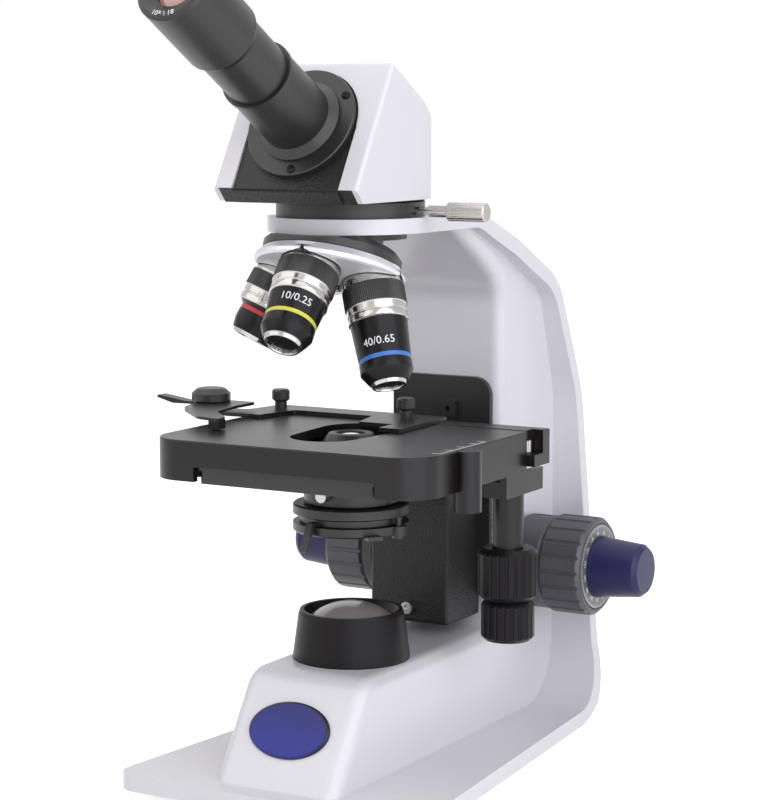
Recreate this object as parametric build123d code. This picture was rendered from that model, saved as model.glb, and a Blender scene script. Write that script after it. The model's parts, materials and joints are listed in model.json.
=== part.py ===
"""Monocular teaching microscope: stand, focusing stage, condenser, turret and inclined head.

Millimetres. +X is the user's right, +Y runs back towards the arm and +Z is up from the table.
Every piece is drawn about the optical axis, which stands at X = Y = 0, and the whole is moved
at the end so that the origin lies on the table under the middle of its overall box.
"""
import os
from math import atan2, cos, degrees, pi, radians, sin, sqrt, tan

from build123d import *

# Clearances
running_gap = 0.05        # radial, between a shaft and its bush
sliding_gap = 0.3         # between curved or sliding faces of pieces that move apart
hole_gap = 0.25           # radial, around a screw that only passes through
pi_turn = 360.0

# Where the overall box has its middle, seen from the optical axis
optical_axis_x = 9.85
optical_axis_y = -4.03

# Foot of the stand
foot_height = 4.3
foot_radius = 9.0
foot_inset = 23.0
rim_thickness = 6.5
base_front_y = -71.0
base_front_half_width = 70.0
base_rear_half_width = 54.0
base_corner_radius = 10.0
base_rear_y = 104.0
skirt_depth = 1.7
skirt_inset = 8.0
cover_thickness = 1.5
rim_top = foot_height + rim_thickness

# Arm of the stand
arm_front_y = 80.0
arm_back_y = 136.8
arm_half_width = 28.0
arm_edge_radius = 6.0
rim_half_width_low = 48.0
rim_half_width_mid = 40.0
rim_half_width_top = 33.2
rim_bend_radius = 26.0
wall = 5.0

# Hump that holds the lamp
hump_top = 52.0
hump_front_y = -61.5
hump_lean = 33.0          # degrees that its front leans back
hump_nose_radius = 13.0

# Ring at the top of the arm
ring_bottom = 226.0
ring_top = 232.0
ring_radius = 33.2
ring_bore = 16.0

# Lamp
collar_top_radius = 21.0
collar_foot_radius = 24.0
collar_top = 72.0
field_lens_radius = 17.5
lens_crown = 3.5

# Focus drive, in the arm
tooth_module = 0.8
tooth_thinning = 0.16     # share of the pitch left free as backlash
drive_y = 104.0
drive_z = 77.6
focus_teeth = 10
coarse_shaft_radius = 5.5
fine_shaft_radius = 3.0
coarse_knob_radius = 21.3
coarse_knob_inner_x = 43.5
coarse_knob_outer_x = 63.0
fine_knob_outer_x = 85.2
fine_knob_root_radius = 13.3
fine_knob_tip_radius = 11.4
tension_ring_radius = 20.3
spacer_thickness = 4.6
tension_ring_inner_x = 29.5
rib_count = 20
scale_ring_radius = 18.6
scale_ring_thickness = 1.2
bush_radius = 9.0

# Stage
stage_top_z = 145.0
stage_skin = 4.0
stage_skirt_bottom = 128.7
stage_skirt_wall = 3.0
stage_half_width = 62.5
stage_front_y = -55.5
stage_rear_y = 34.0
stage_left_corner = 15.0
stage_right_corner = 16.0
lower_plate_thickness = 5.2
lower_plate_top = 133.2
tongue_top = 134.4
tongue_left = -38.0
tongue_right = 41.4
tongue_front_y = -53.5
wide_plate_half_width = 50.1
wide_plate_front_y = 6.0
wide_plate_rear_y = 48.0
pinion_room_radius = 6.2
post_radius = 5.4
post_y = -21.0
post_drop = 8.0

# Stage drive
stage_drive_x = 55.3
stage_drive_y = 32.0
drive_teeth = 12
drive_tube_radius = 6.4
outer_shaft_radius = 4.6
inner_shaft_radius = 2.4
y_knob_radius = 12.4
x_knob_radius = 10.9
y_knob_top = 97.3
y_knob_bottom = 76.0
x_knob_bottom = 59.0

# Mechanical slide holder
bar_front_y = 34.4
bar_rear_y = 41.6
bar_bottom = 135.8
bar_right_x = 61.5
rack_top = 140.6
rack_back_y = 39.6
rail_rear_y = 47.8
rail_right_x = 66.0
rail_bottom = 133.5
holder_thickness = 1.6
holder_lift = 0.2
slide_seat_y = 15.0
slide_right_x = 11.0
holder_screw_places = (-57.6, 4.0)
clamp_x = -80.0
clamp_y = 18.4
clamp_knob_radius = 8.3
clamp_bottom = 149.0
clamp_thickness = 1.2
clamp_pin_radius = 2.2

# Bracket that carries the stage
bracket_front_y = 48.0
bracket_half_width = 18.6
bracket_bottom = 57.0
dust_plate_half_width = 23.6
dust_plate_front_y = 77.0
dust_plate_thickness = 2.6
dust_plate_top = 160.0
slide_half_width = 11.0
slide_rear_y = 96.0
slide_bottom = 62.0
slide_top = 150.0
rack_half_width = 5.8
slot_bottom = 68.5
slot_top = 150.0
stage_rise = 7.0
stage_drop = 3.0

# Condenser
condenser_radius = 23.7
filter_top = 108.6
iris_low = 108.9
iris_radius = 21.0
condenser_ring_top = 116.2
condenser_sleeve_radius = 16.0
condenser_lens_radius = 6.0
iris_bore = 14.8
filter_radius = 16.0

# Turret: its axis leans forward, so that the working objective stands upright
turret_tilt = 20.0
turret_turn = -8.0        # degrees that it is short of its click stop
port_circle_radius = 18.0
port_z = 203.5            # shoulder of the port over the optical axis, when it clicks in
port_thread_radius = 10.1
disc_radius = 30.3
disc_top = 5.5
turret_nose = -4.6
shell_radius = 27.8
pivot_radius = 4.0
light_bore = 8.0
socket_radius = 11.9

# Objectives: length below the shoulder, end of the grip, radius of the body and of the nose
objective_sizes = ((31.0, 12.0, 9.7, 8.2), (39.7, 13.5, 10.4, 7.6), (45.5, 13.5, 10.4, 7.0))
collar_radius = 11.7
collar_end = 5.0
grip_radius = 12.4
band_radius = 11.9

# Head
socket_ring_radius = 29.8
socket_ring_top = 238.3
dovetail_foot_radius = 22.0
dovetail_neck_radius = 20.2
head_bottom = 238.6
head_plate_thickness = 3.6
head_lip = 0.5
head_half_width = 32.2
head_front_y = -50.2
head_crease_z = 244.3
head_crown_y = -21.8
head_crown_z = 292.4
mouth_half_width = 24.0
head_wall = 2.2
tube_rise = 30.0          # degrees that the eyepiece tube rises above the horizontal
tube_seat_y = -38.0
tube_seat_z = 269.6
tube_radius = 14.2
tube_bore = 11.65
tube_length = 35.8
flange_radius = 23.1
flange_thickness = 3.0
eyepiece_neck_radius = 13.0
eyepiece_top_radius = 14.8
eyepiece_neck_end = 60.0
eyepiece_end = 98.6
eye_lens_radius = 8.0
prism_side = 26.0

# Head clamp screw
clamp_screw_radius = 1.6
clamp_screw_head_radius = 3.7
clamp_screw_z = head_bottom - clamp_screw_head_radius - 0.3
clamp_screw_head_x = 44.5
clamp_screw_end_x = 61.3

# Brightness dial, on the left of the arm's foot
dial_y = 62.0
dial_z = 32.0
dial_radius = 9.0
dial_stand_out = 9.0

# Inlet at the back of the arm
inlet_x = 14.0
inlet_z = 40.0
inlet_radius = 5.6
inlet_bore = 2.8


def outline(*corners):
    """Closed face from (u, v, corner radius)."""
    points = [(u, v) for u, v, _ in corners]
    radii = [r for _, _, r in corners]
    if not any(radii):
        return make_face(Polyline(*points, close=True))
    return make_face(FilletPolyline(*points, radius=radii, close=True))


def block(x_span, y_span, z_span):
    """Square-edged block between three spans."""
    size = [high - low for low, high in (x_span, y_span, z_span)]
    middle = [(high + low) / 2 for low, high in (x_span, y_span, z_span)]
    return Pos(*middle) * Box(*size)


def disc(radius, low, high, at=(0, 0)):
    """Upright cylinder between two heights."""
    return Pos(at[0], at[1], (low + high) / 2) * Cylinder(radius, high - low)


def turned(*profile):
    """Solid of revolution about Z from (radius, height) points."""
    return revolve(Plane.XZ * make_face(Polyline(*profile, close=True)), Axis.Z)


def side_profile(face, low_x, high_x):
    """Extrudes a face drawn in (Y, Z) between two X places."""
    return Pos(low_x, 0, 0) * extrude(Plane.YZ * face, high_x - low_x)


def plan(face, low, high):
    """Extrudes a face drawn in (X, Y) between two heights."""
    return Pos(0, 0, low) * extrude(face, high - low)


def lying(shape, y, z, x=0.0):
    """Lays an upright turned piece along +X, with its axis through (Y, Z)."""
    return Pos(x, y, z) * (Rot(0, 90, 0) * shape)


def ribbed(radius, low, high, ribs, groove_radius, bevel):
    """Knob body with round grooves cut along it and both rims bevelled."""
    body = turned((0, low), (radius - bevel, low), (radius, low + bevel), (radius, high - bevel),
                  (radius - bevel, high), (0, high))
    groove = disc(groove_radius, low - 1, high + 1)
    return body - PolarLocations(radius + groove_radius * 0.35, ribs) * groove


def gear(teeth, low, high, bore):
    """Spur pinion with straight-flanked teeth that thin towards their tips."""
    pitch_radius = tooth_module * teeth / 2
    tip = pitch_radius + 0.75 * tooth_module
    root = pitch_radius - 1.05 * tooth_module
    half = tooth_module * pi * (1 - tooth_thinning) / 4
    tooth = outline((root - 0.5, -half, 0), (pitch_radius, -half, 0),
                    (tip, -half + 0.33 * tooth_module, 0), (tip, half - 0.33 * tooth_module, 0),
                    (pitch_radius, half, 0), (root - 0.5, half, 0))
    face = Circle(root) + PolarLocations(0, teeth) * tooth
    return plan(face - Circle(bore), low, high)


def rack(length, thickness, back):
    """Rack along X with its teeth towards -Y, pitch line on Y = 0 and a tooth centred on X = 0."""
    pitch = tooth_module * pi
    half = pitch * (1 - tooth_thinning) / 4
    rise = 0.75 * tooth_module
    dip = 1.05 * tooth_module
    tooth = outline((-half - rise * 0.36, dip + 0.2, 0), (-half + rise * 0.36, -rise, 0),
                    (half - rise * 0.36, -rise, 0), (half + rise * 0.36, dip + 0.2, 0))
    count = 2 * int(length / pitch / 2) - 1
    face = Pos(0, (dip + back) / 2) * Rectangle(length, back - dip)
    face += GridLocations(pitch, 0, count, 1) * tooth
    return plan(face, 0, thickness)


def head_frame():
    """Plane of the tube's seat on the head, facing along the tube."""
    along = (0, -cos(radians(tube_rise)), sin(radians(tube_rise)))
    return Plane(origin=(0, tube_seat_y, tube_seat_z), x_dir=(1, 0, 0), z_dir=along)


def turret_centre():
    tilt = radians(turret_tilt)
    return (0, -port_circle_radius * cos(tilt), port_z + port_circle_radius * sin(tilt))


def turret_frame():
    """Turret's own frame: its axis is Z, its ports lie in Z = 0 and Z points into the arm."""
    tilt = radians(turret_tilt)
    return Plane(origin=turret_centre(), x_dir=(1, 0, 0), z_dir=(0, sin(tilt), cos(tilt)))


def port_in_turret(turn):
    """Port's frame in the turret's own frame, turned from the working place, Z out of its mouth."""
    tilt = radians(turret_tilt)
    angle = radians(turn)
    spoke = Vector(sin(angle), cos(angle), 0)
    mouth = spoke * sin(tilt) - Vector(0, 0, cos(tilt))
    return Plane(origin=spoke * port_circle_radius, x_dir=spoke.cross(mouth), z_dir=mouth)


def at_port(turn, shape):
    return placed(turret_frame(), placed(port_in_turret(turn), shape))


def placed(plane, shape):
    return plane.location * shape


def base_plan(inset):
    """Outline of the foot, smaller by an inset all round."""
    front = base_front_y + inset
    return outline((-base_front_half_width + inset, front, base_corner_radius),
                   (base_front_half_width - inset, front, base_corner_radius),
                   (base_rear_half_width - inset, base_rear_y, 0),
                   (-base_rear_half_width + inset, base_rear_y, 0))


def rim_side(inner):
    """Side view of the bent rim: the foot, the back of the arm and the top, as one strip."""
    back = arm_back_y
    step = rim_thickness
    bend = rim_bend_radius
    return outline((base_front_y, foot_height, 0), (back, foot_height, bend + step),
                   (back, 150, 55), (121, 200, 25), (84, 219, 60), (50, ring_top, 20),
                   (0, ring_top, 0), (0, ring_bottom, 0), (48.5, ring_bottom, 14),
                   (80, 213, 50), (115.6, 195, 20), (back - step, 149, 50),
                   (back - step, rim_top, bend), (base_front_y, rim_top, 0)) if not inner else \
        outline((hump_front_y, foot_height + 1, 0), (back - 2, foot_height + 1, bend),
                (back - 2, 149, 55), (119.5, 198.5, 25), (83.5, 217.5, 60), (50, ring_top - 1, 20),
                (36, ring_top - 1, 0), (36, ring_bottom, 0), (62.5, 211.5, 30),
                (arm_front_y, 199, 16), (arm_front_y, hump_top, 8),
                (hump_front_y + (hump_top - rim_top) * tan(radians(hump_lean)), hump_top,
                 hump_nose_radius), (hump_front_y, rim_top, 3))


def stand_silhouette():
    """Front view of the stand, which narrows from the foot to the ring."""
    return outline((-75, 0, 0), (75, 0, 0), (75, rim_top, 0), (base_rear_half_width, rim_top + 1, 0),
                   (rim_half_width_low, 36, 18), (rim_half_width_mid, 137, 60),
                   (rim_half_width_top, 222, 20), (rim_half_width_top, 240, 0),
                   (-rim_half_width_top, 240, 0), (-rim_half_width_top, 222, 20),
                   (-rim_half_width_mid, 137, 60), (-rim_half_width_low, 36, 18),
                   (-base_rear_half_width, rim_top + 1, 0), (-75, rim_top, 0))


def base_arm_casting():
    strip = side_profile(rim_side(False), -75, 75)
    strip &= Pos(0, 200, 0) * extrude(Plane.XZ * stand_silhouette(), 400)
    foot_tail = block((-base_rear_half_width, base_rear_half_width),
                      (base_rear_y - 1, arm_back_y + 1), (0, ring_top + 5))
    strip &= plan(base_plan(0), 0, ring_top + 5) + foot_tail
    body = side_profile(rim_side(True), -arm_half_width, arm_half_width)
    front_edges = body.edges().filter_by(lambda e: abs(e.center().X) > arm_half_width - 0.1
                                         and e.center().Y < arm_front_y + 1
                                         and rim_top + 2 < e.center().Z < ring_bottom - 4)
    body = fillet(front_edges, arm_edge_radius)
    skirt = plan(base_plan(skirt_inset), foot_height - skirt_depth, foot_height)
    ring = disc(ring_radius, ring_bottom, ring_top)
    neck = block((-ring_radius, ring_radius), (0, 36), (ring_bottom, ring_top))
    casting = strip + body + skirt + ring + neck
    return casting - stand_hollows()


def stand_hollows():
    """Everything the casting leaves open: its inside, the bores and the slot for the stage."""
    inner_half = arm_half_width - wall
    base_hollow = block((-inner_half, inner_half), (hump_front_y + 30, arm_back_y - 12),
                        (0, hump_top - wall))
    arm_hollow = block((-inner_half, inner_half), (arm_front_y + wall, arm_back_y - 12),
                       (20, 196))
    cover_seat = plan(base_plan(skirt_inset + 3), 0, foot_height)
    slot = block((-slide_half_width - sliding_gap, slide_half_width + sliding_gap),
                 (arm_front_y - 1, arm_front_y + wall + 1), (slot_bottom, slot_top))
    shaft_hole = lying(Cylinder(bush_radius, 3 * arm_half_width), drive_y, drive_z)
    light_hole = disc(ring_bore, ring_bottom - 1, ring_top + 1)
    lamp_hole = disc(field_lens_radius + 1, hump_top - wall - 1, hump_top + 1)
    dial_hole = lying(Cylinder(3.4, arm_half_width), dial_y, dial_z, -arm_half_width)
    inlet_hole = Pos(inlet_x, arm_back_y - 6, inlet_z) * (Rot(90, 0, 0) * Cylinder(inlet_radius + 0.2, 16))
    return (base_hollow + arm_hollow + cover_seat + slot + shaft_hole + light_hole + lamp_hole
            + dial_hole + inlet_hole)


def bottom_cover():
    cover = plan(base_plan(skirt_inset + 3.2), foot_height - cover_thickness, foot_height)
    slot = plan(SlotOverall(30, 3), 0, foot_height + 1)
    return cover - GridLocations(0, 7, 1, 6) * slot


def foot_places():
    front_x = base_front_half_width - foot_inset
    rear_x = base_rear_half_width - foot_inset + 2
    front = base_front_y + foot_inset
    rear = base_rear_y - foot_inset
    return [(-front_x, front), (front_x, front), (-rear_x, rear), (rear_x, rear)]


def rubber_feet():
    top = foot_height - cover_thickness
    foot = turned((0, 0), (foot_radius - 1.5, 0), (foot_radius, 1.2), (foot_radius - 0.4, top),
                  (0, top))
    return [Pos(x, y, 0) * foot for x, y in foot_places()]


def illuminator_collar():
    seat = field_lens_radius
    return turned((seat - 2, hump_top), (collar_foot_radius, hump_top),
                  (collar_foot_radius, hump_top + 0.8), (collar_top_radius + 0.6, collar_top - 1.5),
                  (collar_top_radius, collar_top), (collar_top_radius - 1.6, collar_top),
                  (seat, collar_top - 3), (seat, collar_top - 6), (seat - 2, collar_top - 6))


def domed_lens(radius, seat, edge, crown):
    """Plano-convex lens: flat below, a straight edge and a spherical crown."""
    sphere_radius = (radius ** 2 + crown ** 2) / (2 * crown)
    top = seat + edge + crown
    profile = Polyline((0, top), (0, seat), (radius, seat), (radius, seat + edge))
    cap = RadiusArc((radius, seat + edge), (0, top), -sphere_radius)
    if cap.bounding_box().max.Y > top + 0.01 or cap.bounding_box().max.X > radius + 0.01:
        cap = RadiusArc((radius, seat + edge), (0, top), sphere_radius)
    return revolve(Plane.XZ * make_face([*profile.edges(), *cap.edges()]), Axis.Z)


def field_lens():
    return domed_lens(field_lens_radius - 0.1, collar_top - 6, 2.5, lens_crown + 3)


def led_module():
    """Lamp's board with its emitter, on a post that stands on the bottom cover."""
    board = disc(15, 36, 37.6)
    emitter = turned((0, 37.6), (3.5, 37.6), (3.5, 39), (2.2, 41), (0, 41.8))
    post = disc(8, foot_height, 36)
    fins = [disc(13, z, z + 2) for z in (14, 20, 26, 32)]
    return board + emitter + post + fins


def dc_inlet():
    """Round power inlet in the back of the arm."""
    shell = turned((inlet_bore, 0), (inlet_radius + 1.4, 0), (inlet_radius + 1.4, 1.2),
                   (inlet_radius, 1.2), (inlet_radius, 12), (inlet_bore, 12))
    shell += disc(0.9, 2, 12)
    shell += disc(inlet_bore + 0.5, 10, 12)
    return Pos(inlet_x, arm_back_y + 1.2, inlet_z) * (Rot(90, 0, 0) * shell)


def badge():
    """Plain oval badge on the sloping nose of the hump."""
    lean = radians(hump_lean)
    rise = 25.0
    normal = Vector(0, -cos(lean), sin(lean))
    seat = Vector(0, hump_front_y + rise * sin(lean), rim_top + rise * cos(lean))
    plane = Plane(origin=seat, x_dir=(1, 0, 0), z_dir=normal)
    plate = extrude(Ellipse(18.2, 11.8), 1.6)
    return placed(plane, fillet(plate.edges().group_by(Axis.Z)[-1], 1.1))


def focus_guides():
    """Pair of dovetail rails inside the arm that the stage's slide runs between."""
    inside = slide_half_width + sliding_gap
    rail = outline((inside, arm_front_y + wall, 0), (inside + 6, arm_front_y + wall, 0),
                   (inside + 6, slide_rear_y, 0), (inside, slide_rear_y, 0))
    right = plan(rail, slide_bottom, 170)
    return [right, mirror(right, Plane.YZ)]


def shaft_bushes():
    """Flanged bushes in the arm's two walls; the left one spaces its knob off the arm."""
    inner = coarse_shaft_radius + running_gap
    face = arm_half_width + 1.5
    bush = [(inner, arm_half_width - wall), (bush_radius, arm_half_width - wall),
            (bush_radius, arm_half_width), (bush_radius + 2, arm_half_width),
            (bush_radius + 2, face)]
    end = coarse_knob_inner_x - 0.4
    spacer = [(bush_radius + 2, end - spacer_thickness), (coarse_knob_radius, end - spacer_thickness),
              (coarse_knob_radius, end), (inner, end)]
    right = lying(turned(*bush, (inner, face)), drive_y, drive_z)
    left = lying(turned(*bush, *spacer), drive_y, drive_z)
    return [right, mirror(left, Plane.YZ)]


def tension_ring():
    """Collar beside the arm that sets how stiffly the coarse drive turns."""
    width = coarse_knob_inner_x - sliding_gap - tension_ring_inner_x
    ring = turned((coarse_shaft_radius + sliding_gap, 0), (tension_ring_radius - 1, 0),
                  (tension_ring_radius, 1), (tension_ring_radius, width - 1),
                  (tension_ring_radius - 1, width), (coarse_shaft_radius + sliding_gap, width))
    ring -= PolarLocations(tension_ring_radius, 4) * (Pos(0, 0, width / 2) * Box(5, 1.6, 8))
    return lying(ring, drive_y, drive_z, tension_ring_inner_x)


def coarse_pinion_shaft():
    """Hollow shaft that carries the coarse knobs, with the focus pinion on its middle."""
    half = coarse_knob_inner_x + 10
    root = tooth_module * focus_teeth / 2 - 1.05 * tooth_module
    bore = fine_shaft_radius - 0.8 + running_gap
    necked = turned((bore, -half), (coarse_shaft_radius, -half), (coarse_shaft_radius, -9),
                    (root, -9), (root, 9), (coarse_shaft_radius, 9), (coarse_shaft_radius, half),
                    (bore, half))
    return lying(necked + gear(focus_teeth, -6.2, 6.2, root - 0.4), drive_y, drive_z)


def coarse_knob(inner, outer, recess):
    """Ribbed coarse knob, hollow towards the fine knob."""
    body = ribbed(coarse_knob_radius, inner, outer, rib_count, 1.1, 1.6)
    body -= disc(coarse_shaft_radius, inner - 1, inner + 10)
    body -= disc(fine_shaft_radius + 1, inner, outer + 1)
    body -= disc(recess, outer - scale_ring_thickness, outer + 1)
    return body


def coarse_knob_right():
    knob = coarse_knob(coarse_knob_inner_x, coarse_knob_outer_x, scale_ring_radius + 0.05)
    return lying(knob, drive_y, drive_z)


def coarse_knob_left():
    knob = coarse_knob(coarse_knob_inner_x - 0.0, coarse_knob_outer_x, scale_ring_radius - 3)
    return mirror(lying(knob, drive_y, drive_z), Plane.YZ)


def focus_scale_ring():
    """Graduated disc let into the right coarse knob's outer face."""
    low = coarse_knob_outer_x - scale_ring_thickness
    ring = turned((fine_shaft_radius + 2, low), (scale_ring_radius, low),
                  (scale_ring_radius - 0.4, coarse_knob_outer_x + 0.2),
                  (fine_shaft_radius + 2, coarse_knob_outer_x + 0.2))
    return lying(ring, drive_y, drive_z)


def fine_shaft():
    half = fine_knob_outer_x - 8
    return lying(Cylinder(fine_shaft_radius - 0.8, 2 * half), drive_y, drive_z)


def fine_knob():
    """Tapered fine knob with a rounded end."""
    low = coarse_knob_outer_x + 0.6
    tip = fine_knob_tip_radius
    knob = turned((0, low), (fine_knob_root_radius, low), (fine_knob_root_radius - 0.2, low + 1.5),
                  (tip, fine_knob_outer_x - 2.2), (tip - 1.8, fine_knob_outer_x),
                  (0, fine_knob_outer_x))
    return knob - disc(fine_shaft_radius - 0.8, low - 1, fine_knob_outer_x - 8)


def fine_knobs():
    right = lying(fine_knob(), drive_y, drive_z)
    return [right, mirror(right, Plane.YZ)]


def carrier_slide():
    """Slide that runs in the arm, with the focus rack on its back."""
    bar = block((-slide_half_width, slide_half_width), (arm_front_y + wall + sliding_gap, slide_rear_y),
                (slide_bottom, slide_top))
    bar += block((-slide_half_width, slide_half_width),
                 (dust_plate_front_y + dust_plate_thickness, slide_rear_y - 5),
                 (slot_bottom + stage_drop + 1, slot_top - stage_rise - 1))
    pitch_line = drive_y - tooth_module * focus_teeth / 2
    length = 2 * (slide_top - drive_z)
    teeth = rack(length, 2 * rack_half_width, pitch_line - slide_rear_y)
    upright = Pos(-rack_half_width, pitch_line, drive_z) * (Rot(0, 90, 0) * (Rot(0, 0, 180) * teeth))
    keep = block((-slide_half_width, slide_half_width), (slide_rear_y, drive_y),
                 (slide_bottom + 1, slide_top - 1))
    return bar + (upright & keep)


def dust_plate():
    """Plate behind the stage that hides the slot in the arm as the stage travels."""
    half = dust_plate_half_width
    face = outline((-half, 66, 2), (half, 66, 2), (half, dust_plate_top, 8),
                   (-half, dust_plate_top, 8))
    rear = dust_plate_front_y + dust_plate_thickness
    return Pos(0, rear, 0) * extrude(Plane.XZ * face, dust_plate_thickness)


def carrier_bracket():
    """Textured bracket that joins the stage to its slide, with tapered side ribs."""
    low = bracket_bottom
    high = lower_plate_top - lower_plate_thickness
    side = outline((bracket_front_y, low, 2), (dust_plate_front_y, low, 0),
                   (dust_plate_front_y, high, 0), (bracket_front_y - 8, high, 0),
                   (bracket_front_y - 8, high - 5, 0), (bracket_front_y, high - 14, 3))
    body = side_profile(side, -bracket_half_width, bracket_half_width)
    upright = body.edges().filter_by(Axis.Z).filter_by(lambda e: e.center().Y < bracket_front_y + 1)
    body = fillet(upright, 1.5)
    relief = disc(condenser_radius + 1.5, low, high + 1)
    return body - relief


def carrier_screws():
    """Hexagon screw in the bracket's front and the condenser's set screw."""
    from_seat = (Align.CENTER, Align.CENTER, Align.MIN)
    forward = Rot(90, 0, 0)
    head = Cylinder(2.6, 2, align=from_seat) - Pos(0, 0, 0.8) * extrude(RegularPolygon(1.4, 6), 3)
    set_screw = Cylinder(1.55, 7, align=from_seat) + Pos(0, 0, 4) * Cylinder(2.4, 4, align=from_seat)
    middle = (condenser_ring_top + 0.6 + lower_plate_top - lower_plate_thickness) / 2 - 1
    return [Pos(0, bracket_front_y, bracket_bottom + 6.4) * (forward * head),
            Pos(0, -condenser_sleeve_radius, middle) * (forward * set_screw)]


def lower_stage_plate():
    """Fixed plate under the stage, with the rack for the front-to-back drive on its edge."""
    low = lower_plate_top - lower_plate_thickness
    face = outline((tongue_left, tongue_front_y, 2), (tongue_right, tongue_front_y, 2),
                   (tongue_right, wide_plate_front_y, 0),
                   (46, wide_plate_front_y, 0), (46, wide_plate_rear_y, 3),
                   (-wide_plate_half_width, wide_plate_rear_y, 3),
                   (-wide_plate_half_width, wide_plate_front_y, 0),
                   (tongue_left, wide_plate_front_y, 0))
    plate = plan(face - Circle(condenser_sleeve_radius + 1.5), low, lower_plate_top)
    pitch_line = stage_drive_x - tooth_module * drive_teeth / 2
    length = wide_plate_rear_y - wide_plate_front_y - 2
    teeth = Rot(0, 0, 90) * rack(length, lower_plate_thickness - 1.6, pitch_line - 45.9)
    teeth = Pos(pitch_line, stage_drive_y, low + 0.8) * teeth
    pitch = tooth_module * pi
    teeth += Pos(0, -5 * pitch, 0) * teeth
    keep = block((45.9, pitch_line + 2), (wide_plate_front_y + 0.5, wide_plate_rear_y - 0.5),
                 (low, lower_plate_top))
    tongue = block((tongue_left, tongue_right), (tongue_front_y, wide_plate_front_y - 4),
                   (lower_plate_top - 0.1, tongue_top))
    tongue -= disc(condenser_sleeve_radius + 1.5, low, tongue_top + 1)
    return plate + (teeth & keep) + tongue


def stop_block():
    """Small tapped block on the dust plate that stops the stage's upward travel."""
    piece = block((1.2, 7.6), (dust_plate_front_y - 2.5, dust_plate_front_y), (142.6, 149.4))
    return piece - Pos(4.4, dust_plate_front_y, 146) * (Rot(90, 0, 0) * Cylinder(1.2, 8))


def condenser_mount():
    """Sleeve under the lower plate that holds the condenser."""
    low = condenser_ring_top + 0.6
    high = lower_plate_top - lower_plate_thickness
    inner = condenser_sleeve_radius + running_gap
    sleeve = turned((inner, low), (inner + 3.2, low), (inner + 3.2, high - 2.5), (23, high - 2.5),
                    (23, high), (inner, high))
    screw_hole = Pos(0, -inner - 2, (low + high) / 2 - 1) * (Rot(90, 0, 0) * Cylinder(1.6, 10))
    return sleeve - screw_hole


def condenser_body():
    """Condenser barrel, with its top cone that reaches up to the slide."""
    cone_base = stage_top_z - 8
    inner = condenser_lens_radius
    sleeve = condenser_sleeve_radius
    neck = iris_bore - running_gap
    return turned((12, iris_low), (neck, iris_low), (neck, iris_low + 3.3),
                  (condenser_radius, iris_low + 3.3), (condenser_radius, condenser_ring_top - 0.6),
                  (condenser_radius - 0.6, condenser_ring_top), (sleeve, condenser_ring_top),
                  (sleeve, cone_base - 1), (sleeve - 1.2, cone_base), (9, stage_top_z - 0.6),
                  (inner + 1.2, stage_top_z - 0.2), (inner, stage_top_z - 0.8),
                  (inner, stage_top_z - 4), (12, cone_base - 8))


def condenser_lens():
    return domed_lens(condenser_lens_radius - 0.05, stage_top_z - 4, 2.4, 0.9)


def iris_leaves():
    """Overlapping leaves of the iris diaphragm, drawn half open."""
    low = iris_low + 1.5
    ring = disc(12, low, low + 0.5) - disc(6.5, low - 1, low + 1)
    for i in range(6):
        leaf = Pos(7.6, 0) * Ellipse(3.2, 5.0)
        ring += Rot(0, 0, 60 * i) * plan(leaf, low + 0.5, low + 0.8)
    return ring - disc(4.6, low - 1, low + 2)


def iris_ring():
    """Ring that opens and closes the iris, with its lever bent down."""
    low = iris_low
    r = iris_radius
    ring = turned((iris_bore, low), (r, low), (r, low + 2.4), (r - 0.6, low + 3), (iris_bore, low + 3))
    reach = condenser_radius + 0.6
    lever = block((-1.6, 1.6), (r - 1, reach + 1.3), (low + 0.4, low + 1.7))
    drop = outline((reach, low + 1.7, 0), (reach + 1.3, low + 1.7, 0), (reach + 5.6, low - 9.6, 0.5),
                   (reach + 4.2, low - 9.9, 0.5), (reach, low + 0.4, 0))
    return Rot(0, 0, 170) * (ring + lever + side_profile(drop, -1.6, 1.6))


def filter_pivot():
    return (condenser_radius - 0.6, -2.0)


def condenser_collar():
    """Pin under the condenser's flange that the filter holder swings on."""
    pivot = filter_pivot()
    pin = disc(1.3, filter_top - 4.2, iris_low + 3.3, pivot)
    return pin + disc(2.4, filter_top - 5.0, filter_top - 4.1, pivot)


def filter_holder():
    """Swing-out ring under the condenser for a filter."""
    high = filter_top
    low = high - 3.8
    pivot = filter_pivot()
    r = condenser_radius
    ring = turned((filter_radius - 1.5, low), (r - 0.8, low), (r, low + 0.8), (r, high),
                  (filter_radius, high), (filter_radius, low + 1.2), (filter_radius - 1.5, low + 1.2))
    eye = disc(3.4, low, high, pivot) - disc(filter_radius + 2, low - 1, high + 1)
    tab = Rot(0, 0, -40) * block((r - 2, r + 5), (-3, 3), (low, low + 1.5))
    return ring + eye + tab - disc(1.3 + running_gap, low - 1, high + 1, pivot)


def filter_glass():
    seat = filter_top - 3.8 + 1.2
    return disc(filter_radius - 0.1, seat, seat + 2)


def stage_plan(inset=0.0):
    half = stage_half_width - inset
    left = max(stage_left_corner - inset, 0.5)
    right = max(stage_right_corner - inset, 0.5)
    return outline((-half, stage_front_y + inset, left), (half, stage_front_y + inset, right),
                   (half, stage_rear_y + 5 * inset, 0), (-half, stage_rear_y + 5 * inset, 0))


def stage_aperture():
    """Oblong opening over the condenser, narrower towards the front."""
    back = Pos(0, 7.5) * Circle(17)
    front = Pos(-0.5, -18.5) * Circle(14.5)
    return make_hull(back.edges() + front.edges())


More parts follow.
